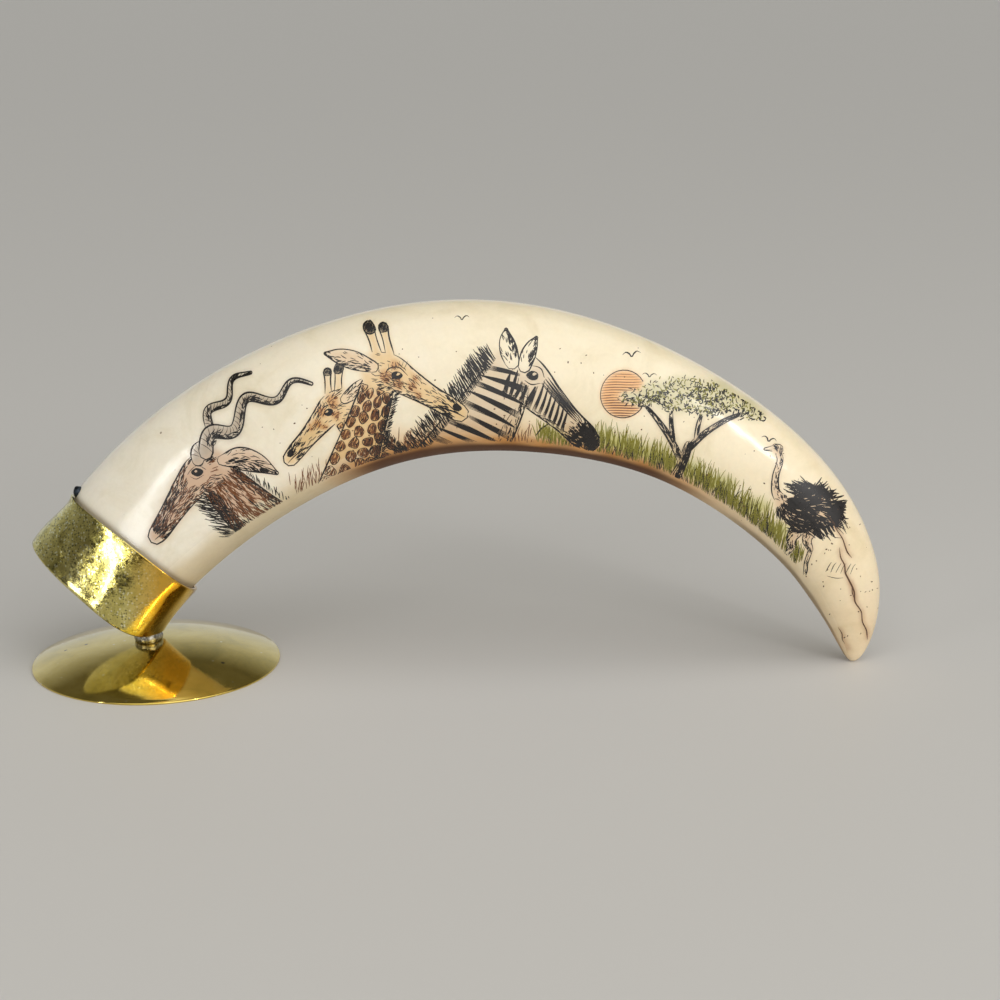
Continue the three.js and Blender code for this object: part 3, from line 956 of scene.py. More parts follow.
def zebra(drawing, place):
    """A zebra's head and neck, looking right in its own box."""
    head = Figure(
        drawing, place,
        neck=[(10, -6, 27), (19, 14, 23), (30, 37, 18.5), (38, 54, 15), (42, 65, 11.5)],
        skull=[(42, 63, 13.5), (51, 58, 12.6), (63, 48, 9.8), (75, 37.5, 7.8), (84, 29.5, 7.6),
               (88, 26, 6.4)],
    )
    ear = Figure(drawing, place, ear=[(42, 68, 4), (39.6, 74, 4.7), (38, 79.5, 3.6), (37.6, 84, 0.9)])
    far_ear = Figure(drawing, place, ear=[(49, 66, 3.4), (50.6, 72, 4.0), (52.6, 77, 3), (54.6, 81, 0.8)])
    for one in (ear, far_ear):
        one.outline(0.3)
        one.fur("ear", 0.4, 1.3, lambda u, v: 0.25 + 0.75 * ((v < -0.2) | (u > 0.75)), 0.22)
        one.finish()
    head.outline(0.34)
    head.eye([(50.4, 61.4), (53.2, 63.6), (56.4, 62.6), (56.4, 59.8), (53.2, 59.2)], (54.6, 62.2))
    head.curve([(47.6, 61), (52, 66.2), (58, 65.4), (60.4, 60.6)], 0.3)
    head.curve([(49.6, 58.6), (53.6, 56.6), (58.6, 57.6)], 0.24)
    nostril = head.dark([(84.4, 30.6), (87.6, 33), (89.8, 31), (87.4, 28)], gap=0.14)
    head.curve([(86.6, 20.6), (81, 24.6), (75, 28.8), (71, 30.6)], 0.3)
    eye_rim = head.filled([(47.5, 61), (52, 66), (58.5, 65.5), (60.5, 60), (56, 56), (50, 57)])
    with drawing.sparing(eye_rim | nostril):
        for k, u in enumerate(np.linspace(0.03, 0.97, 12)):
            thin_at = -1 if k % 2 else 1
            head.stripe("neck", u, 1.75 - 0.55 * u, thin_at=thin_at, slant=2.4 * (0.4 - u), pen=0.28)
        for u in np.linspace(0.05, 0.33, 5):
            head.stripe("skull", u, 0.95, v=(-1, 0.2), slant=-2.2, pen=0.24)
        for u in np.linspace(0.36, 0.74, 8):
            head.stripe("skull", u, 0.72, v=(-1, 0.62), slant=-3.4, pen=0.22)
        bow = np.sin(np.pi * np.linspace(0, 1, 40))
        for k, v in enumerate(np.linspace(0.42, 0.95, 5)):
            for shift in (-0.035, 0.035):
                stripe = head.limbs["skull"].at(np.linspace(0.2 + 0.03 * k, 0.76, 40), v + shift * bow)
                drawing.line(stripe, 0.24, within=head.mask)
        head.fur("skull", 0.3, 1.0, lambda u, v: smoothstep(u, 0.74, 0.88), 0.22, back=True)
        head.fur("skull", 0.6, 1.3, under(0, 0.7, 0.3, 1), 0.18, back=True)
        head.fur("neck", 0.7, 1.8, under(0, 0.8, 0.3, 1), back=True)
    head.dark([(84, 34), (89.5, 32.5), (93.6, 27.5), (92.6, 22), (87, 19)], gap=0.2)
    head.mane("neck", 1, (0.0, 1), 150, length=3.7, tilt=0.45, rows=2, width=0.26, curl=0.1)
    head.finish((176, 128, 88), 0.34, soft=0.8)


def leaf_curls(spots, way, longest):
    count = len(spots)
    return curled(spots, way, np.zeros(count), rng.normal(0, 1.4, count), rng.uniform(0.5, longest, count))


def acacia(drawing, place):
    """A flat-topped thorn tree."""
    tree = Figure(
        drawing, place,
        trunk=[(50, 0, 4.6), (48, 12, 3.4), (50, 26, 3), (52, 40, 2.6)],
        left=[(50, 28, 2.2), (40, 42, 1.8), (28, 54, 1.3), (18, 62, 0.7)],
        left_in=[(42, 40, 1.4), (38, 54, 1.1), (36, 68, 0.6)],
        right=[(51, 36, 2.2), (60, 48, 1.8), (72, 58, 1.3), (84, 64, 0.7)],
        right_in=[(56, 43, 1.4), (56, 56, 1.1), (60, 70, 0.6)],
        foot=[(50, 2, 3), (42, -1, 1.6), (36, -2.4, 0.5)],
        other_foot=[(50, 2, 3), (57, -1, 1.6), (63, -2.4, 0.5)],
    )
    crown = blank()
    clumps = [(14, 64, 11, 4.5), (28, 70, 14, 6), (46, 74, 16, 7), (64, 74, 15, 6.5), (80, 69, 13, 5.5),
              (91, 64, 9, 4), (38, 63, 12, 4), (60, 64, 13, 4.4)]
    for x, z, wide, tall in clumps:
        wides, talls = wide * rng.uniform(0.9, 1.08, 18), tall * rng.uniform(0.85, 1.1, 18)
        crown |= fill_polygon(smooth_line(place(ellipse(x, z, wides, talls, circle(18))), closed=True))
    inside = np.argwhere(crown)
    count = int(len(inside) * CELL ** 2 / LEAF_AREA)
    spots = PLANE_LOW + inside[rng.integers(0, len(inside), count)] * CELL
    # Leaves are small curls, closer together in the shade under each clump
    shade = np.zeros(count)
    for clump, middle in zip(clumps, place([clump[:2] for clump in clumps])):
        away = (spots - middle) / (np.array(clump[2:]) * place.scale)
        near = (away ** 2).sum(axis=1) < 1.2
        shade[near] = np.maximum(shade[near], smoothstep(-away[near, 1], -0.7, 0.8))
    keep = rng.uniform(size=count) < 0.3 + 0.7 * shade
    spots, shade = spots[keep], shade[keep]
    across, up = rng.uniform(0, 6.28, len(spots)), rng.uniform(0, 6.28, len(spots))
    way = np.stack([np.cos(across), np.sin(up)], axis=1)
    drawing.strokes(leaf_curls(spots, way, 1.1), 0.2 + 0.12 * shade)
    drawing.strokes(leaf_curls(spots[::2] + 0.2, -way[::2], 1.0), 0.24, "green")
    drawing.wash(crown, (150, 150, 70), 0.42, soft=0.9)
    drawing.hide(crown)
    tree.outline(0.28)
    for name in tree.limbs:
        tree.fur(name, 0.34, 1.6, one_side(0.3, 0.7, 0.1), lean=0.1)
    tree.finish((150, 104, 66), 0.6)


def ostrich(drawing, place):
    """An ostrich standing, looking right in its own box."""
    bird = Figure(
        drawing, place,
        body=[(22, 46, 9), (34, 50, 15), (48, 50, 15.5), (60, 50, 9.5), (66, 54, 5.5)],
        neck=[(64, 53, 5), (72, 60, 3.2), (75, 72, 2.5), (74, 84, 2.4), (77, 91, 2.6)],
        head=[(76.5, 92, 3.6), (80, 92.4, 3.2)],
        beak=[(82, 92, 2), (88, 90.8, 0.8)],
        thigh=[(46, 38, 7), (50, 26, 4.2), (47, 18, 2.2)],
        shank=[(47, 18, 2), (51, 6, 1.5), (54, -4, 1.3), (60, -6, 0.8)],
        far_thigh=[(36, 38, 6), (38, 27, 3.8), (33, 19, 2)],
        far_shank=[(33, 19, 1.8), (33, 7, 1.4), (31, -4, 1.2), (37, -6, 0.8)],
    )
    bird.outline(0.26, skip=("body",))
    bird.dark([(77.6, 92.6), (79, 94), (80.4, 92.8), (79, 91.6)], pen=0.2, gap=0.12)
    bird.curve([(82, 90.9), (87, 90.6)], 0.16)
    bird.fur("body", 0.4, 3.0, under(0.55, 0.45, -0.6, 0.6), 0.3, 0.5, back=True, inside=False)
    bird.mane("body", -1, (0.1, 0.7), 46, length=3.4, tilt=1.1, rows=2, width=0.3)
    bird.mane("body", 1, (0.05, 0.6), 40, length=2.6, tilt=1.2, rows=2, width=0.3)
    # Pale tail plumes
    for k in range(26):
        root = np.array([24 + rng.normal(0, 2.5), 46 + rng.normal(0, 4.5)])
        bird.curve([root, root + [-7, 1.5 - 0.35 * k % 5], root + [-13, -2 - rng.uniform(0, 6)]], 0.2)
    for name in ("neck", "thigh", "far_thigh", "head"):
        bird.fur(name, 0.36, 0.9, one_side(0.2, 0.7, 0), 0.17)
    for name in ("shank", "far_shank"):
        bird.fur(name, 0.3, 0.7, 0.5, 0.15)
    bird.finish((186, 132, 92), 0.45)


def grass(drawing, start, end, count, tall, colour, width):
    """Blades that grow up from the lower edge of the picture."""
    distance = np.sort(rng.uniform(start, end, count))
    root = spine_point(distance, rng.uniform(*GRASS_SHARES, count) * half_sizes(distance)[0])
    reach = rng.uniform(*tall, count)
    angle = np.pi / 2 + rng.normal(0, 0.1, count)
    blades = curled(root, np.array([[1.0, 0.0]]), angle, rng.normal(-0.1, 0.2, count), reach)
    drawing.strokes(blades, width * rng.uniform(0.8, 1.2, count), colour, blunt=0.2)


def sun(drawing, place):
    """A low sun, hatched across."""
    disc = place(ellipse(50, 50, 46, 46, np.linspace(0, 2 * np.pi, 60)))
    mask = fill_polygon(disc)
    drawing.line(disc, 0.24, blunt=0.8)
    for row in np.linspace(8, 88, 17):
        hatch = [(0, row), (30, row + 1.2), (70, row - 0.6), (100, row)]
        drawing.curve(place(hatch), 0.1 + 0.002 * (100 - row), "brown", mask)
    drawing.wash(mask, (232, 158, 70), 0.75, soft=0.5)


def flying_bird(drawing, distance, out, size, turn):
    place = Place(distance, out, size, turn)
    for points, width in (
        ([(0, 62), (18, 74), (38, 66), (50, 50), (62, 66), (80, 76), (100, 66)], 0.3),
        ([(22, 72), (40, 62), (50, 50)], 0.26),
        ([(78, 74), (60, 62), (50, 50)], 0.26),
    ):
        drawing.curve(place(points), width, blunt=0.2)


def marks(drawing):
    """Cracks and specks near the tip, a dark chip at the lower edge, and the row of ticks."""
    for path, width in (
        ([(91.4, 40.9), (92.9, 38.9), (93.4, 37.6), (94.9, 35.4), (95.5, 34.3), (96.6, 31.4),
          (97.9, 29.7)], 0.3),
        ([(94.6, 32.6), (95.0, 30.1), (96.1, 28.0), (96.4, 26.0), (97.2, 24.4), (98.9, 21.0), (99.4, 18.0),
          (101.2, 15.2), (101.8, 12.2), (103.1, 9.6), (103.7, 6.7)], 0.36),
        ([(95.9, 10.5), (97.0, 8.8), (97.4, 6.7), (98.6, 5.1), (99.1, 3.8)], 0.3),
        ([(97.4, 24.0), (98.3, 22.2), (98.5, 20.6), (99.3, 18.4)], 0.2),
    ):
        drawing.curve(path, width, "crack", blunt=0.2)
        edge = np.concatenate([np.array(path) - [0.5, 0], (np.array(path) + [0.7, 0])[::-1]])
        drawing.wash(fill_polygon(edge), (176, 122, 84), 0.5, soft=0.5)
    for _ in range(3):
        chip = np.array([(20.0, 61.9), (21.2, 63.6), (23.2, 65.1)]) + rng.normal(0, 0.1, 2)
        drawing.curve(chip, 0.45, blunt=0.3)
    # More specks towards the tip
    count = 150
    at = spine_point(rng.uniform(18, 240, count) ** 0.6 * 240 ** 0.4, rng.uniform(-0.9, 0.9, count) * 12)
    turn = rng.uniform(0, 6.28, count)
    half = ellipse(0, 0, 1, 1, turn) * rng.uniform(0.1, 0.26, (count, 1))
    lines = at[:, None] + half[:, None] * np.linspace(-1, 1, STROKE_POINTS)[None, :, None]
    drawing.strokes(lines, rng.uniform(0.16, 0.36, count), "crack", blunt=0.6)
    ticks = Place(218.5, 0.5, 9, turn=-8)
    for k in range(6):
        x = 8 + 14 * k
        drawing.curve(ticks([(x, 42), (x + 4, 56 + 6 * (k % 2)), (x + 10, 72)]), 0.24)
    drawing.curve(ticks([(14, 30), (40, 27), (60, 30)]), 0.22)


def draw_picture():
    """All the motifs, the nearest first, since each hides what is drawn behind it later."""
    drawing = Drawing()
    marks(drawing)
    kudu(drawing)
    giraffe(drawing, Place(93, -2.1, 42, turn=6, flip=True))
    giraffe(drawing, Place(77.5, -5, 35, turn=14))
    drawing.part = "middle"
    zebra(drawing, Place(124.5, -1.5, 43, turn=-4))
    drawing.part = "right"
    ostrich(drawing, Place(199, 1.2, 31, turn=-12, flip=True))
    acacia(drawing, Place(165, 1.5, 38, turn=-10))
    for distance, out, size, turn in ((147, 12, 4.5, 0), (152, 9.0, 3.6, -8), (183, 8.5, 4, -20),
                                      (110, 15, 3.6, 0)):
        flying_bird(drawing, distance, out, size, turn)
    sun(drawing, Place(147.5, 3.5, 12))
    green = blank()
    for distance, out, tall in ((137, -9.5, 4.0), (143, -9.5, 3.4), (150, -9, 3.0), (158, -9, 2.8),
                                (167, -8.5, 2.6), (177, -8, 2.6), (188, -7.5, 2.4), (199, -7, 2.2)):
        green |= fill_polygon(ellipse(*spine_point(distance, out), 6.5, tall, np.linspace(0, 2 * np.pi, 30)))
    drawing.wash(green, (178, 180, 84), 0.75, soft=1.2)
    grass(drawing, 130, 212, 760, (3.0, 6.5), "green", 0.22)
    grass(drawing, 130, 212, 240, (2, 5), "black", 0.17)
    grass(drawing, 60, 128, 220, (2, 4.2), "brown", 0.18)
    return drawing


# Ink on the tusk

def shares_between(places, last):
    """Where places fall among equally spaced values: the value before, and the share of the way on."""
    before = np.minimum(places.astype(int), last - 1)
    return before, places - before


class Front:
    """Finds the angle round the tusk at which a point of the picture plane meets its front."""

    def __init__(self):
        self.stations = np.linspace(0, TUSK_LENGTH, FRONT_STATIONS)
        self.middle = spine_point(self.stations, 0 * self.stations)
        self.normal = spine_point(self.stations, 0 * self.stations + 1) - self.middle
        self.way = np.stack([self.normal[:, 1], -self.normal[:, 0]], axis=1)
        self.bend = np.gradient(np.radians(along(TURNED, self.stations / TUSK_LENGTH)), self.stations)
        angle = np.radians(np.linspace(*FRONT_ANGLES))
        shape = surface(self.stations[:, None], angle[None, :])[..., [0, 2]]
        out = ((shape - self.middle[:, None]) * self.normal[:, None]).sum(axis=2)
        self.low, self.high = out.min(axis=1), out.max(axis=1)
        share = (1 - np.cos(np.linspace(0, np.pi, FRONT_STEPS))) / 2
        self.angle = np.zeros((FRONT_STATIONS, FRONT_STEPS))
        upper = angle <= np.pi / 2
        for i in range(FRONT_STATIONS):
            first, last = out[i][upper].argmax(), upper.sum() + out[i][~upper].argmin()
            falling = np.minimum.accumulate(out[i][first:last + 1])
            wanted = self.high[i] + (self.low[i] - self.high[i]) * share
            self.angle[i] = np.interp(-wanted, -falling, angle[first:last + 1])

    def nearest(self, points):
        """Distance along the tusk, and how far outside its centreline."""
        i = ((points[:, None] - self.middle[None]) ** 2).sum(axis=2).argmin(axis=1)
        gap = points - self.middle[i]
        out = (gap * self.normal[i]).sum(axis=1)
        further = (gap * self.way[i]).sum(axis=1) / (1 + self.bend[i] * out)
        return np.clip(self.stations[i] + further, 0, TUSK_LENGTH), out

    def meet(self, points):
        """Distance along the tusk and angle round it, for points of the picture plane."""
        batches = [self.nearest(points[a:a + BATCH]) for a in range(0, len(points), BATCH)]
        distance, out = np.concatenate(batches, axis=1)
        i, f = shares_between(distance / TUSK_LENGTH * (FRONT_STATIONS - 1), FRONT_STATIONS - 1)
        high = self.high[i] * (1 - f) + self.high[i + 1] * f
        low = self.low[i] * (1 - f) + self.low[i + 1] * f
        share = np.clip((out - high) / (low - high), 0, 1)
        j, g = shares_between(np.arccos(1 - 2 * share) / np.pi * (FRONT_STEPS - 1), FRONT_STEPS - 1)
        before, after = [self.angle[k, j] * (1 - g) + self.angle[k, j + 1] * g for k in (i, i + 1)]
        return distance, before * (1 - f) + after * f


def on_tusk(front, points, grown):
    """Points of the picture plane, brought onto the tusk's front and raised by grown."""
    distance, angle = front.meet(points.reshape(-1, 2))
    raised = surface(distance, angle) + surface_normal(distance, angle) * grown
    return raised.reshape(points.shape[:-1] + (3,))


def ink_slivers(front, batches):
    """Vertices and faces of thin slivers of ink, one for each stroke, with a keel in the ivory."""
    vertices, faces, first = [], [], 0
    for lines, widths in batches:
        if lines.shape[1] > LONG_LINE:
            kept = np.unique(np.append(np.arange(0, lines.shape[1], 2), lines.shape[1] - 1))
            lines, widths = lines[:, kept], widths[:, kept]
        way = np.gradient(lines, axis=1)
        way /= np.linalg.norm(way, axis=2, keepdims=True) + 1e-9
        side = np.stack([-way[..., 1], way[..., 0]], axis=2) * widths[..., None] / 2
        left = on_tusk(front, lines + side, INK_PROUD)
        right = on_tusk(front, lines - side, INK_PROUD)
        keel = on_tusk(front, lines, -INK_DEEP)
        vertices.append(np.stack([left, right, keel], axis=2).reshape(-1, 3))
        # Each point of a line has three vertices: left, right and keel
        n, k = lines.shape[:2]
        start = first + np.arange(n)[:, None] * k * 3
        rows = (start + np.arange(k - 1)[None, :] * 3).reshape(-1, 1)
        for a, b in ((0, 1), (1, 2), (2, 0)):
            faces += (rows + [b, a, a + 3, b + 3]).tolist()
        faces += (start + [0, 1, 2]).tolist() + (start + (k - 1) * 3 + [1, 0, 2]).tolist()
        first += n * k * 3
    return np.concatenate(vertices), faces


def make_ink(front, drawing):
    for (part, colour), batches in drawing.ink.items():
        vertices, faces = ink_slivers(front, batches)
        obj = make_object("ink_" + part + "_" + colour, vertices, faces, smooth=False)
        obj.data.materials.append(ink_materials[colour])
        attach(obj, "root")


# Brass and solder

def turn_outwards(obj):
    """Turns every face outwards."""
    mesh = bmesh.new()
    mesh.from_mesh(obj.data)
    bmesh.ops.recalc_face_normals(mesh, faces=mesh.faces)
    mesh.to_mesh(obj.data)
    mesh.free()


def lip_ear(angle):
    """The lip stands a little higher at its outer end, under the bead."""
    away = np.angle(np.exp(1j * (angle - LIP_EAR_PLACE)))
    return LIP_EAR * np.exp(-(away / LIP_EAR_REACH) ** 2)


def ferrule_further(distance, angle, grown, share=1.0):
    """How much further along the tusk the wall stands at each angle, by the lip's tilt, slant and ear."""
    level = own_surface(distance, angle, grown)
    middle = np.interp(distance, spine_distance, spine_z)
    tilt, slant = [share * math.tan(math.radians(turn)) for turn in (LIP_TILT, LIP_SLANT)]
    return -level[..., 1] * tilt - (level[..., 2] - middle) * slant + share * lip_ear(angle)


def ferrule_lip(angle):
    """Distance along the tusk at which the ferrule's lip stands, at each angle round it."""
    return FERRULE_LIP + ferrule_further(FERRULE_LIP, angle, SEAT_CLEARANCE)


def ferrule_ring(share, inside=0.0):
    """A ring of the ferrule's wall: share runs from its underside to its lip, and inside
    from its outer face to its inner one."""
    angle = circle(FERRULE_SIDES)
    distance = FERRULE_LOW + FERRULE_HEIGHT * share
    grown = SEAT_CLEARANCE + FERRULE_WALL * (1 - inside) + FERRULE_SPLAY * (1 - share)
    return own_surface(distance + ferrule_further(distance, angle, grown, share), angle, grown)


def dented(rings):
    """Shallow dents and a slight waviness, as thin brass gets when it is pressed on."""
    share = np.linspace(0, 1, len(rings))[:, None]
    angle = circle(FERRULE_SIDES)[None, :]
    depth = 0.05 * np.sin(3 * angle + 4 * share) + 0.04 * np.sin(7 * angle - 5 * share + 1.3)
    for _ in range(DENTS):
        place, middle = rng.uniform(0, 2 * np.pi), rng.uniform(0.1, 0.9)
        wide, tall = rng.uniform(0.05, 0.16), rng.uniform(0.06, 0.2)
        away = np.angle(np.exp(1j * (angle - place)))
        depth = depth - rng.uniform(0.04, 0.16) * np.exp(-(away / wide) ** 2 - ((share - middle) / tall) ** 2)
    # One crumpled crease on the front, from the bottom to above the middle: a ridge with a valley beside it
    away = angle - (np.radians(66) + 0.12 * np.sin(9 * share) - 0.1 * share)
    crease = 0.1 * np.exp(-(away / 0.05) ** 2) - 0.14 * np.exp(-((away - 0.13) / 0.08) ** 2)
    depth = depth + crease * smoothstep(share, 0.08, 0.2) * (1 - smoothstep(share, 0.6, 0.8))
    fade = smoothstep(share, 0, 0.08) * (1 - smoothstep(share, 0.94, 1))
    way = rings - rings.mean(axis=1, keepdims=True)
    way /= np.linalg.norm(way, axis=2, keepdims=True)
    return rings + way * (depth * fade)[..., None]


def make_ferrule():
    edge, bevel, seat = [size / FERRULE_HEIGHT for size in (FERRULE_EDGE, FERRULE_BEVEL, FERRULE_WALL)]
    outside = dented(np.array([ferrule_ring(share) for share in np.linspace(edge, 1 - bevel, FERRULE_RINGS)]))
    turn = np.linspace(0, np.pi / 2, 5)
    foot = [ferrule_ring(edge * (1 - math.cos(t)),
                         inside=(1 - math.sin(t)) * FERRULE_EDGE / FERRULE_WALL) for t in turn[:-1]]
    lip = [ferrule_ring(1 - bevel * (1 - math.sin(t)),
                        inside=(1 - math.cos(t)) * FERRULE_BEVEL / FERRULE_WALL) for t in turn[1:]]
    lip += [ferrule_ring(1, inside=0.8), ferrule_ring(1 - bevel, inside=1)]
    within = [ferrule_ring(share, inside=1) for share in np.linspace(1 - 2 * bevel, seat, 12)]
    rings = leaned(np.array(foot + list(outside) + lip + within), LEAN) + SHIFT
    obj = closed_tube("brass_ferrule", rings)
    turn_outwards(obj)
    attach(obj, "root")
    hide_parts("ferrule")
    obj.data.materials.append(ferrule_brass)


def dome_height(radius, top, rim_radius, rim_height):
    rise = top - rim_height
    ball = (rim_radius ** 2 + rise ** 2) / (2 * rise)
    return np.sqrt(ball ** 2 - radius ** 2) - ball + top


def foot_middle():
    """Where the foot's axis stands, in metres."""
    low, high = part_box("foot")
    return (low[0] + high[0]) / 2


def make_foot():
    rim = FOOT_DIAMETER / 2
    share = np.linspace(0.01, 1, FOOT_RINGS)
    above = [(r, dome_height(r, FOOT_RISE, rim, FOOT_EDGE)) for r in rim * share[:-1]]
    # The rim's upper edge is a little rounded
    turn = np.linspace(0, np.pi / 2, 5)
    above += [(rim - FOOT_ROUND * (1 - math.sin(t)), FOOT_EDGE - FOOT_ROUND * (1 - math.cos(t)))
              for t in turn]
    edge = [(rim, FOOT_BEVEL), (rim - FOOT_BEVEL, 0)]
    ring = rim - FOOT_RING
    below = [(r, dome_height(r, FOOT_RISE - FOOT_SHEET, ring, 0)) for r in ring * share[::-1]]
    angle = circle(FOOT_SIDES)
    rings = np.array([np.stack([r * np.cos(angle), r * np.sin(angle), 0 * angle + z], axis=1)
                      for r, z in above + edge + below])
    rings[:, :, 0] += foot_middle() / MM
    obj = closed_tube("brass_foot", rings)
    turn_outwards(obj)
    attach(obj, "root")
    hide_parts("foot")
    obj.data.materials.append(foot_brass)


def lumps(points, seed, size, height):
    """Rounded lumps over a small piece, and pits between them."""
    pick = np.random.default_rng(seed)
    low, high = points.min(axis=0), points.max(axis=0)
    total = np.zeros(len(points))
    for _ in range(LUMPS):
        middle = pick.uniform(low, high)
        reach = size * pick.uniform(0.6, 1.4)
        total += pick.uniform(-0.7, 1) * height * np.exp(-((points - middle) ** 2).sum(axis=1) / reach ** 2)
    return total


def make_blob(name, node, voxel, swell, uneven, seed, material, kept=1.0):
    """A lump of solder: the solid, made finer, swollen until it meets the brass, and made uneven."""
    obj = add_object(name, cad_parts[node].data.copy())
    remesh = obj.modifiers.new("finer", "REMESH")
    remesh.mode = "VOXEL"
    remesh.voxel_size = voxel * MM
    obj.modifiers.new("rounder", "SMOOTH").iterations = 6
    made = bpy.data.meshes.new_from_object(obj.evaluated_get(bpy.context.evaluated_depsgraph_get()))
    obj.modifiers.clear()
    obj.data = made
    points, normals = np.zeros(len(made.vertices) * 3), np.zeros(len(made.vertices) * 3)
    made.vertices.foreach_get("co", points)
    made.vertices.foreach_get("normal", normals)
    points, normals = points.reshape(-1, 3) / MM, normals.reshape(-1, 3)
    points = points + normals * (swell + lumps(points, seed, uneven * 3, uneven))[:, None]
    # Shrunk towards its lower right corner, where it meets the brass
    held = np.array([points[:, 0].max(), points[:, 1].mean(), points[:, 2].min()])
    points = held + (points - held) * kept
    made.vertices.foreach_set("co", (points * MM).reshape(-1))
    made.update()
    made.shade_smooth()
    made.materials.clear()
    made.materials.append(material)
    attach(obj, "root")
    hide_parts(node)


# The tusk and its colours

def layer(colours, share, tone):
    """Lays a colour over others, by a share for each point."""
    share = np.clip(share, 0, 1)[..., None]
    return colours * (1 - share) + np.array(srgb(*tone)[:3]) * share


def wobble(distance, angle, seed, coarse=9.0, fine=3.0):
    """A smooth unevenness between about -1 and 1 over the tusk's skin."""
    pick = np.random.default_rng(seed)
    total = 0
    for size, weight in ((coarse, 0.6), (fine, 0.4)):
        for _ in range(5):
            turns, shift = pick.integers(-3, 4), pick.uniform(0, 6.28)
            wave = np.sin(distance / size * pick.uniform(0.6, 1.6) + turns * angle + shift)
            total = total + weight * 0.45 * wave
    return total


def tusk_tones(distance, angle):
    """Colour and gloss of the bare ivory, warmer towards the tip and stained along the inside of the bend,
    darkest at the very edge there partly by painted shade, and with painted shade on the lower facet near the
    seat.
    """
    share = distance / TUSK_LENGTH
    inner = np.degrees(np.arccos(np.clip(-np.cos(angle), -1, 1)))
    uneven = wobble(distance, angle, 5)

    def within(degrees, spread, core):
        """1 within core degrees of the inside of the bend, 0 beyond an uneven edge."""
        return smoothstep(-inner, -degrees - spread * uneven, -core)

    def stretch(start, whole, fading, end):
        return smoothstep(distance, start, whole) * (1 - smoothstep(distance, fading, end))

    stain = within(50, 6, 37) * stretch(60, 84, 160, 186) * (0.85 + 0.2 * wobble(distance, angle, 8, 6, 2))
    from_lip = distance - ferrule_lip(angle)
    # Darker in a thin band along the ferrule's lip, and faintly for a little way beyond it
    lip_band = np.exp(-((from_lip - 0.3) / 0.9) ** 2) + 0.35 * np.exp(-np.maximum(from_lip, 0) / 1.6)
    colours = np.zeros(share.shape + (3,)) + np.array(srgb(240, 233, 217)[:3])
    for cover, tone in (
        (smoothstep(share, 0.05, 0.55), (240, 227, 198)),
        (smoothstep(share, 0.6, 1.0) * 0.9, (240, 220, 184)),
        (within(70, 8, 44) * stretch(48, 96, 165, 215) * 0.55, (226, 178, 116)),
        (stain, (204, 144, 76)),
        # Dark brown at the very edge of the inside of the bend: partly a real stain, partly painted shade
        # where the underside turns away from the light
        (within(36, 5, 25) * stretch(66, 86, 160, 188) * 0.95, (80, 42, 8)),
        # Darker in a thin greyish line at the very edge, towards the tip
        (within(29, 4, 18) * smoothstep(distance, 178, 200) * 0.7, (128, 104, 76)),
        # Painted shade: a beige band on the lower facet near the seat, where it turns under, away from the
        # light
        (within(54, 8, 32) * (1 - smoothstep(distance, 56, 84)) * 0.6, (206, 184, 138)),
        (lip_band * (0.45 + 0.15 * uneven), (104, 86, 54)),
        (smoothstep(share, 0.9, 0.99) * 0.4 * (0.6 + 0.4 * uneven), (220, 178, 136)),
    ):
        colours = layer(colours, cover, tone)
    gloss = 1 - within(56, 0, 34)
    return np.concatenate([colours, gloss[..., None]], axis=-1)


def rubbed_in(drawing, points, distance, angle):
    """The picture's colours at points of the tusk, none where its skin turns away from the front."""
    x, z = cells(points[..., [0, 2]])
    towards_front = -surface_normal(distance, angle)[..., 1]
    kept = smoothstep(towards_front, *WASH_FACING) * (1 - smoothstep(np.degrees(angle), *WASH_END))
    return drawing.paint[x, z] * kept[..., None]


def make_tusk(drawing):
    share = 1 - (1 - np.linspace(0, 1, TUSK_RINGS + 1)[:-1]) ** TUSK_CROWDING
    angle = circle(TUSK_SIDES)
    # Sides stand closer together on the inked front
    angle = angle - FRONT_CROWDING * np.cos(angle)
    distance, angle = np.broadcast_arrays(share[:, None] * TUSK_LENGTH, angle[None, :])
    rings = surface(distance, angle)
    obj = closed_tube("tusk_ivory", rings)
    colours = tusk_tones(distance, angle)
    paint = rubbed_in(drawing, rings, distance, angle)
    colours[..., :3] = colours[..., :3] * (1 - paint[..., 3:]) + paint[..., :3]
    ends = np.stack([colours[0].mean(axis=0), colours[-1].mean(axis=0)])
    flat = np.concatenate([colours.reshape(-1, 4), ends])
    tone = obj.data.color_attributes.new("tone", "FLOAT_COLOR", "POINT")
    tone.data.foreach_set("color", flat.astype(np.float32).reshape(-1))
    add_bake_map(obj.data, TUSK_RINGS, TUSK_SIDES)
    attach(obj, "root")
    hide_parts("tusk")
    obj.data.materials.append(ivory)


def add_bake_map(mesh, rows, sides):
    """A map of the skin: along it from left to right, round it from bottom to top."""
    corners = np.zeros(len(mesh.loops), int)
    mesh.loops.foreach_get("vertex_index", corners)
    row, side = corners // sides, corners % sides
    start, end = corners == rows * sides, corners == rows * sides + 1
    point = start | end
    count = len(mesh.polygons)
    face = np.repeat(np.arange(count), [p.loop_total for p in mesh.polygons])
    # The last column of faces ends at 1, not at 0
    top = np.zeros(count)
    np.maximum.at(top, face[~point], side[~point])
    v = np.where((side == 0) & (top[face] == sides - 1), 1.0, side / sides)
    # A fan's middle point takes the mean of its other two corners
    total, met = np.zeros(count), np.zeros(count)
    np.add.at(total, face[~point], v[~point])
    np.add.at(met, face[~point], 1)
    v = np.where(point, (total / met)[face], v)
    side_margin, low_margin = MAP_MARGINS
    u = side_margin + (1 - 2 * side_margin) * row / (rows - 1)
    u = np.where(start, 0.0, np.where(end, 1.0, u))
    uv = np.stack([u, v * (1 - 2 * low_margin) + low_margin], axis=1).astype(np.float32)
    mesh.uv_layers.new(name="OFBake").data.foreach_set("uv", uv.reshape(-1))


# Stage

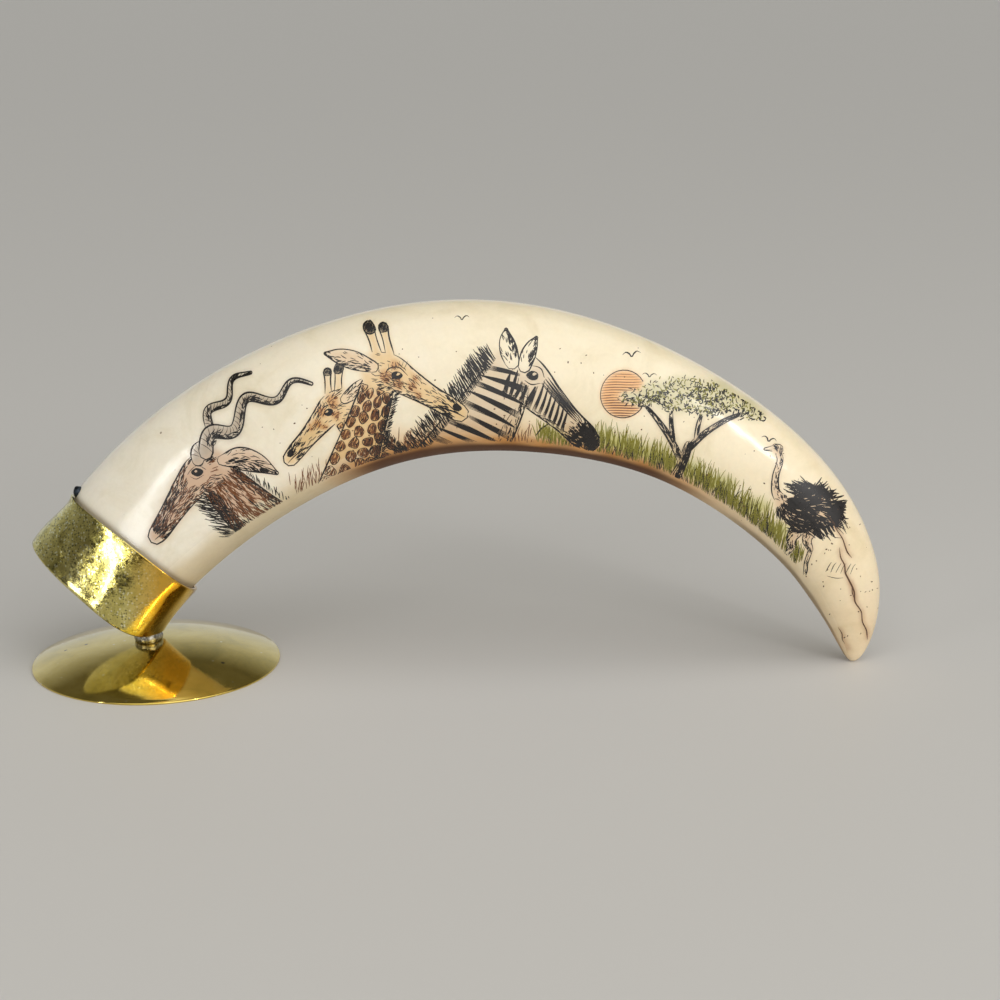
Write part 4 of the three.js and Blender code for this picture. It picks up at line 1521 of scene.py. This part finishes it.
def make_floor():
    mesh = bpy.data.meshes.new("floor")
    r = FLOOR_REACH
    mesh.from_pydata([(-r, -r, 0), (r, -r, 0), (r, r, 0), (-r, r, 0)], [], [(0, 1, 2, 3)])
    obj = add_object("floor", mesh)
    material, graph = new_material("floor")
    graph.surface({"Base Color": FLOOR_COLOUR, "Roughness": 0.6})
    mesh.materials.append(material)


def add_light(name, kind, way, power):
    data = bpy.data.lights.new(name, kind)
    data.energy = power
    obj = add_object(name, data)
    obj.rotation_euler = Vector(way).to_track_quat("-Z", "Y").to_euler()
    return obj


def soft_light(name, place, target, size, power):
    obj = add_light(name, "AREA", Vector(target) - Vector(place), power)
    obj.location = place
    obj.data.shape = "RECTANGLE"
    obj.data.size, obj.data.size_y = size


def even_light(name, way, strength, softness):
    """Light that falls the same on the whole floor, with soft shadows."""
    add_light(name, "SUN", way, strength).data.angle = math.radians(softness)


def make_world():
    """A plain studio: a pale wall behind the object, dim above and on the camera's side."""
    world = bpy.data.worlds.new("world")
    bpy.context.scene.world = world
    graph = Graph(world)
    _, y, z = graph.split(graph.add("TexCoord", {}, "Generated"))
    walls = graph.ramp(graph.maths("MULTIPLY_ADD", y, 0.5, 0.5), WORLD_WALLS)
    background = graph.nodes["Background"]
    graph.put(background.inputs["Color"], graph.mix(graph.ramp(z, WORLD_HEIGHT), walls, WORLD_CEILING))
    graph.put(background.inputs["Strength"], WORLD_STRENGTH)


def make_camera():
    data = bpy.data.cameras.new("camera")
    data.lens = CAMERA_LENS
    data.clip_start = 0.01
    obj = add_object("camera", data)
    x, y, z = CAMERA_FROM_FOOT
    obj.location = (foot_middle() + x * MM, y * MM, z * MM)
    obj.rotation_euler = (math.radians(90 - CAMERA_PITCH), 0, 0)
    bpy.context.scene.camera = obj


# Making it all

make_floor()
make_world()
even_light("even", (-0.3, 0.6, -0.74), 1.85, 95)
soft_light("key", (0.25, -0.75, 0.85), (0.03, 0, 0.04), (1.7, 0.9), 2.6)
soft_light("fill", (0.62, -0.85, 0.3), (0.08, 0, 0.04), (1.0, 0.6), 1.2)
soft_light("left", (-0.68, -0.66, 0.24), (-0.05, 0, 0.04), (0.05, 0.4), 0.8)
soft_light("right", (0.62, -0.72, 0.4), (0.08, 0, 0.05), (0.06, 0.26), 1.1)
make_camera()
bpy.context.scene.view_settings.view_transform = "Standard"

drawing = draw_picture()
make_tusk(drawing)
make_ink(Front(), drawing)
make_ferrule()
make_foot()
make_blob("solder_lump", "solder_joint", 0.12, 0.3, 0.3, 4, pale_solder)
make_blob("dark_bead", "lip_bead", 0.08, 0.3, 0.25, 9, dark_solder, kept=0.72)
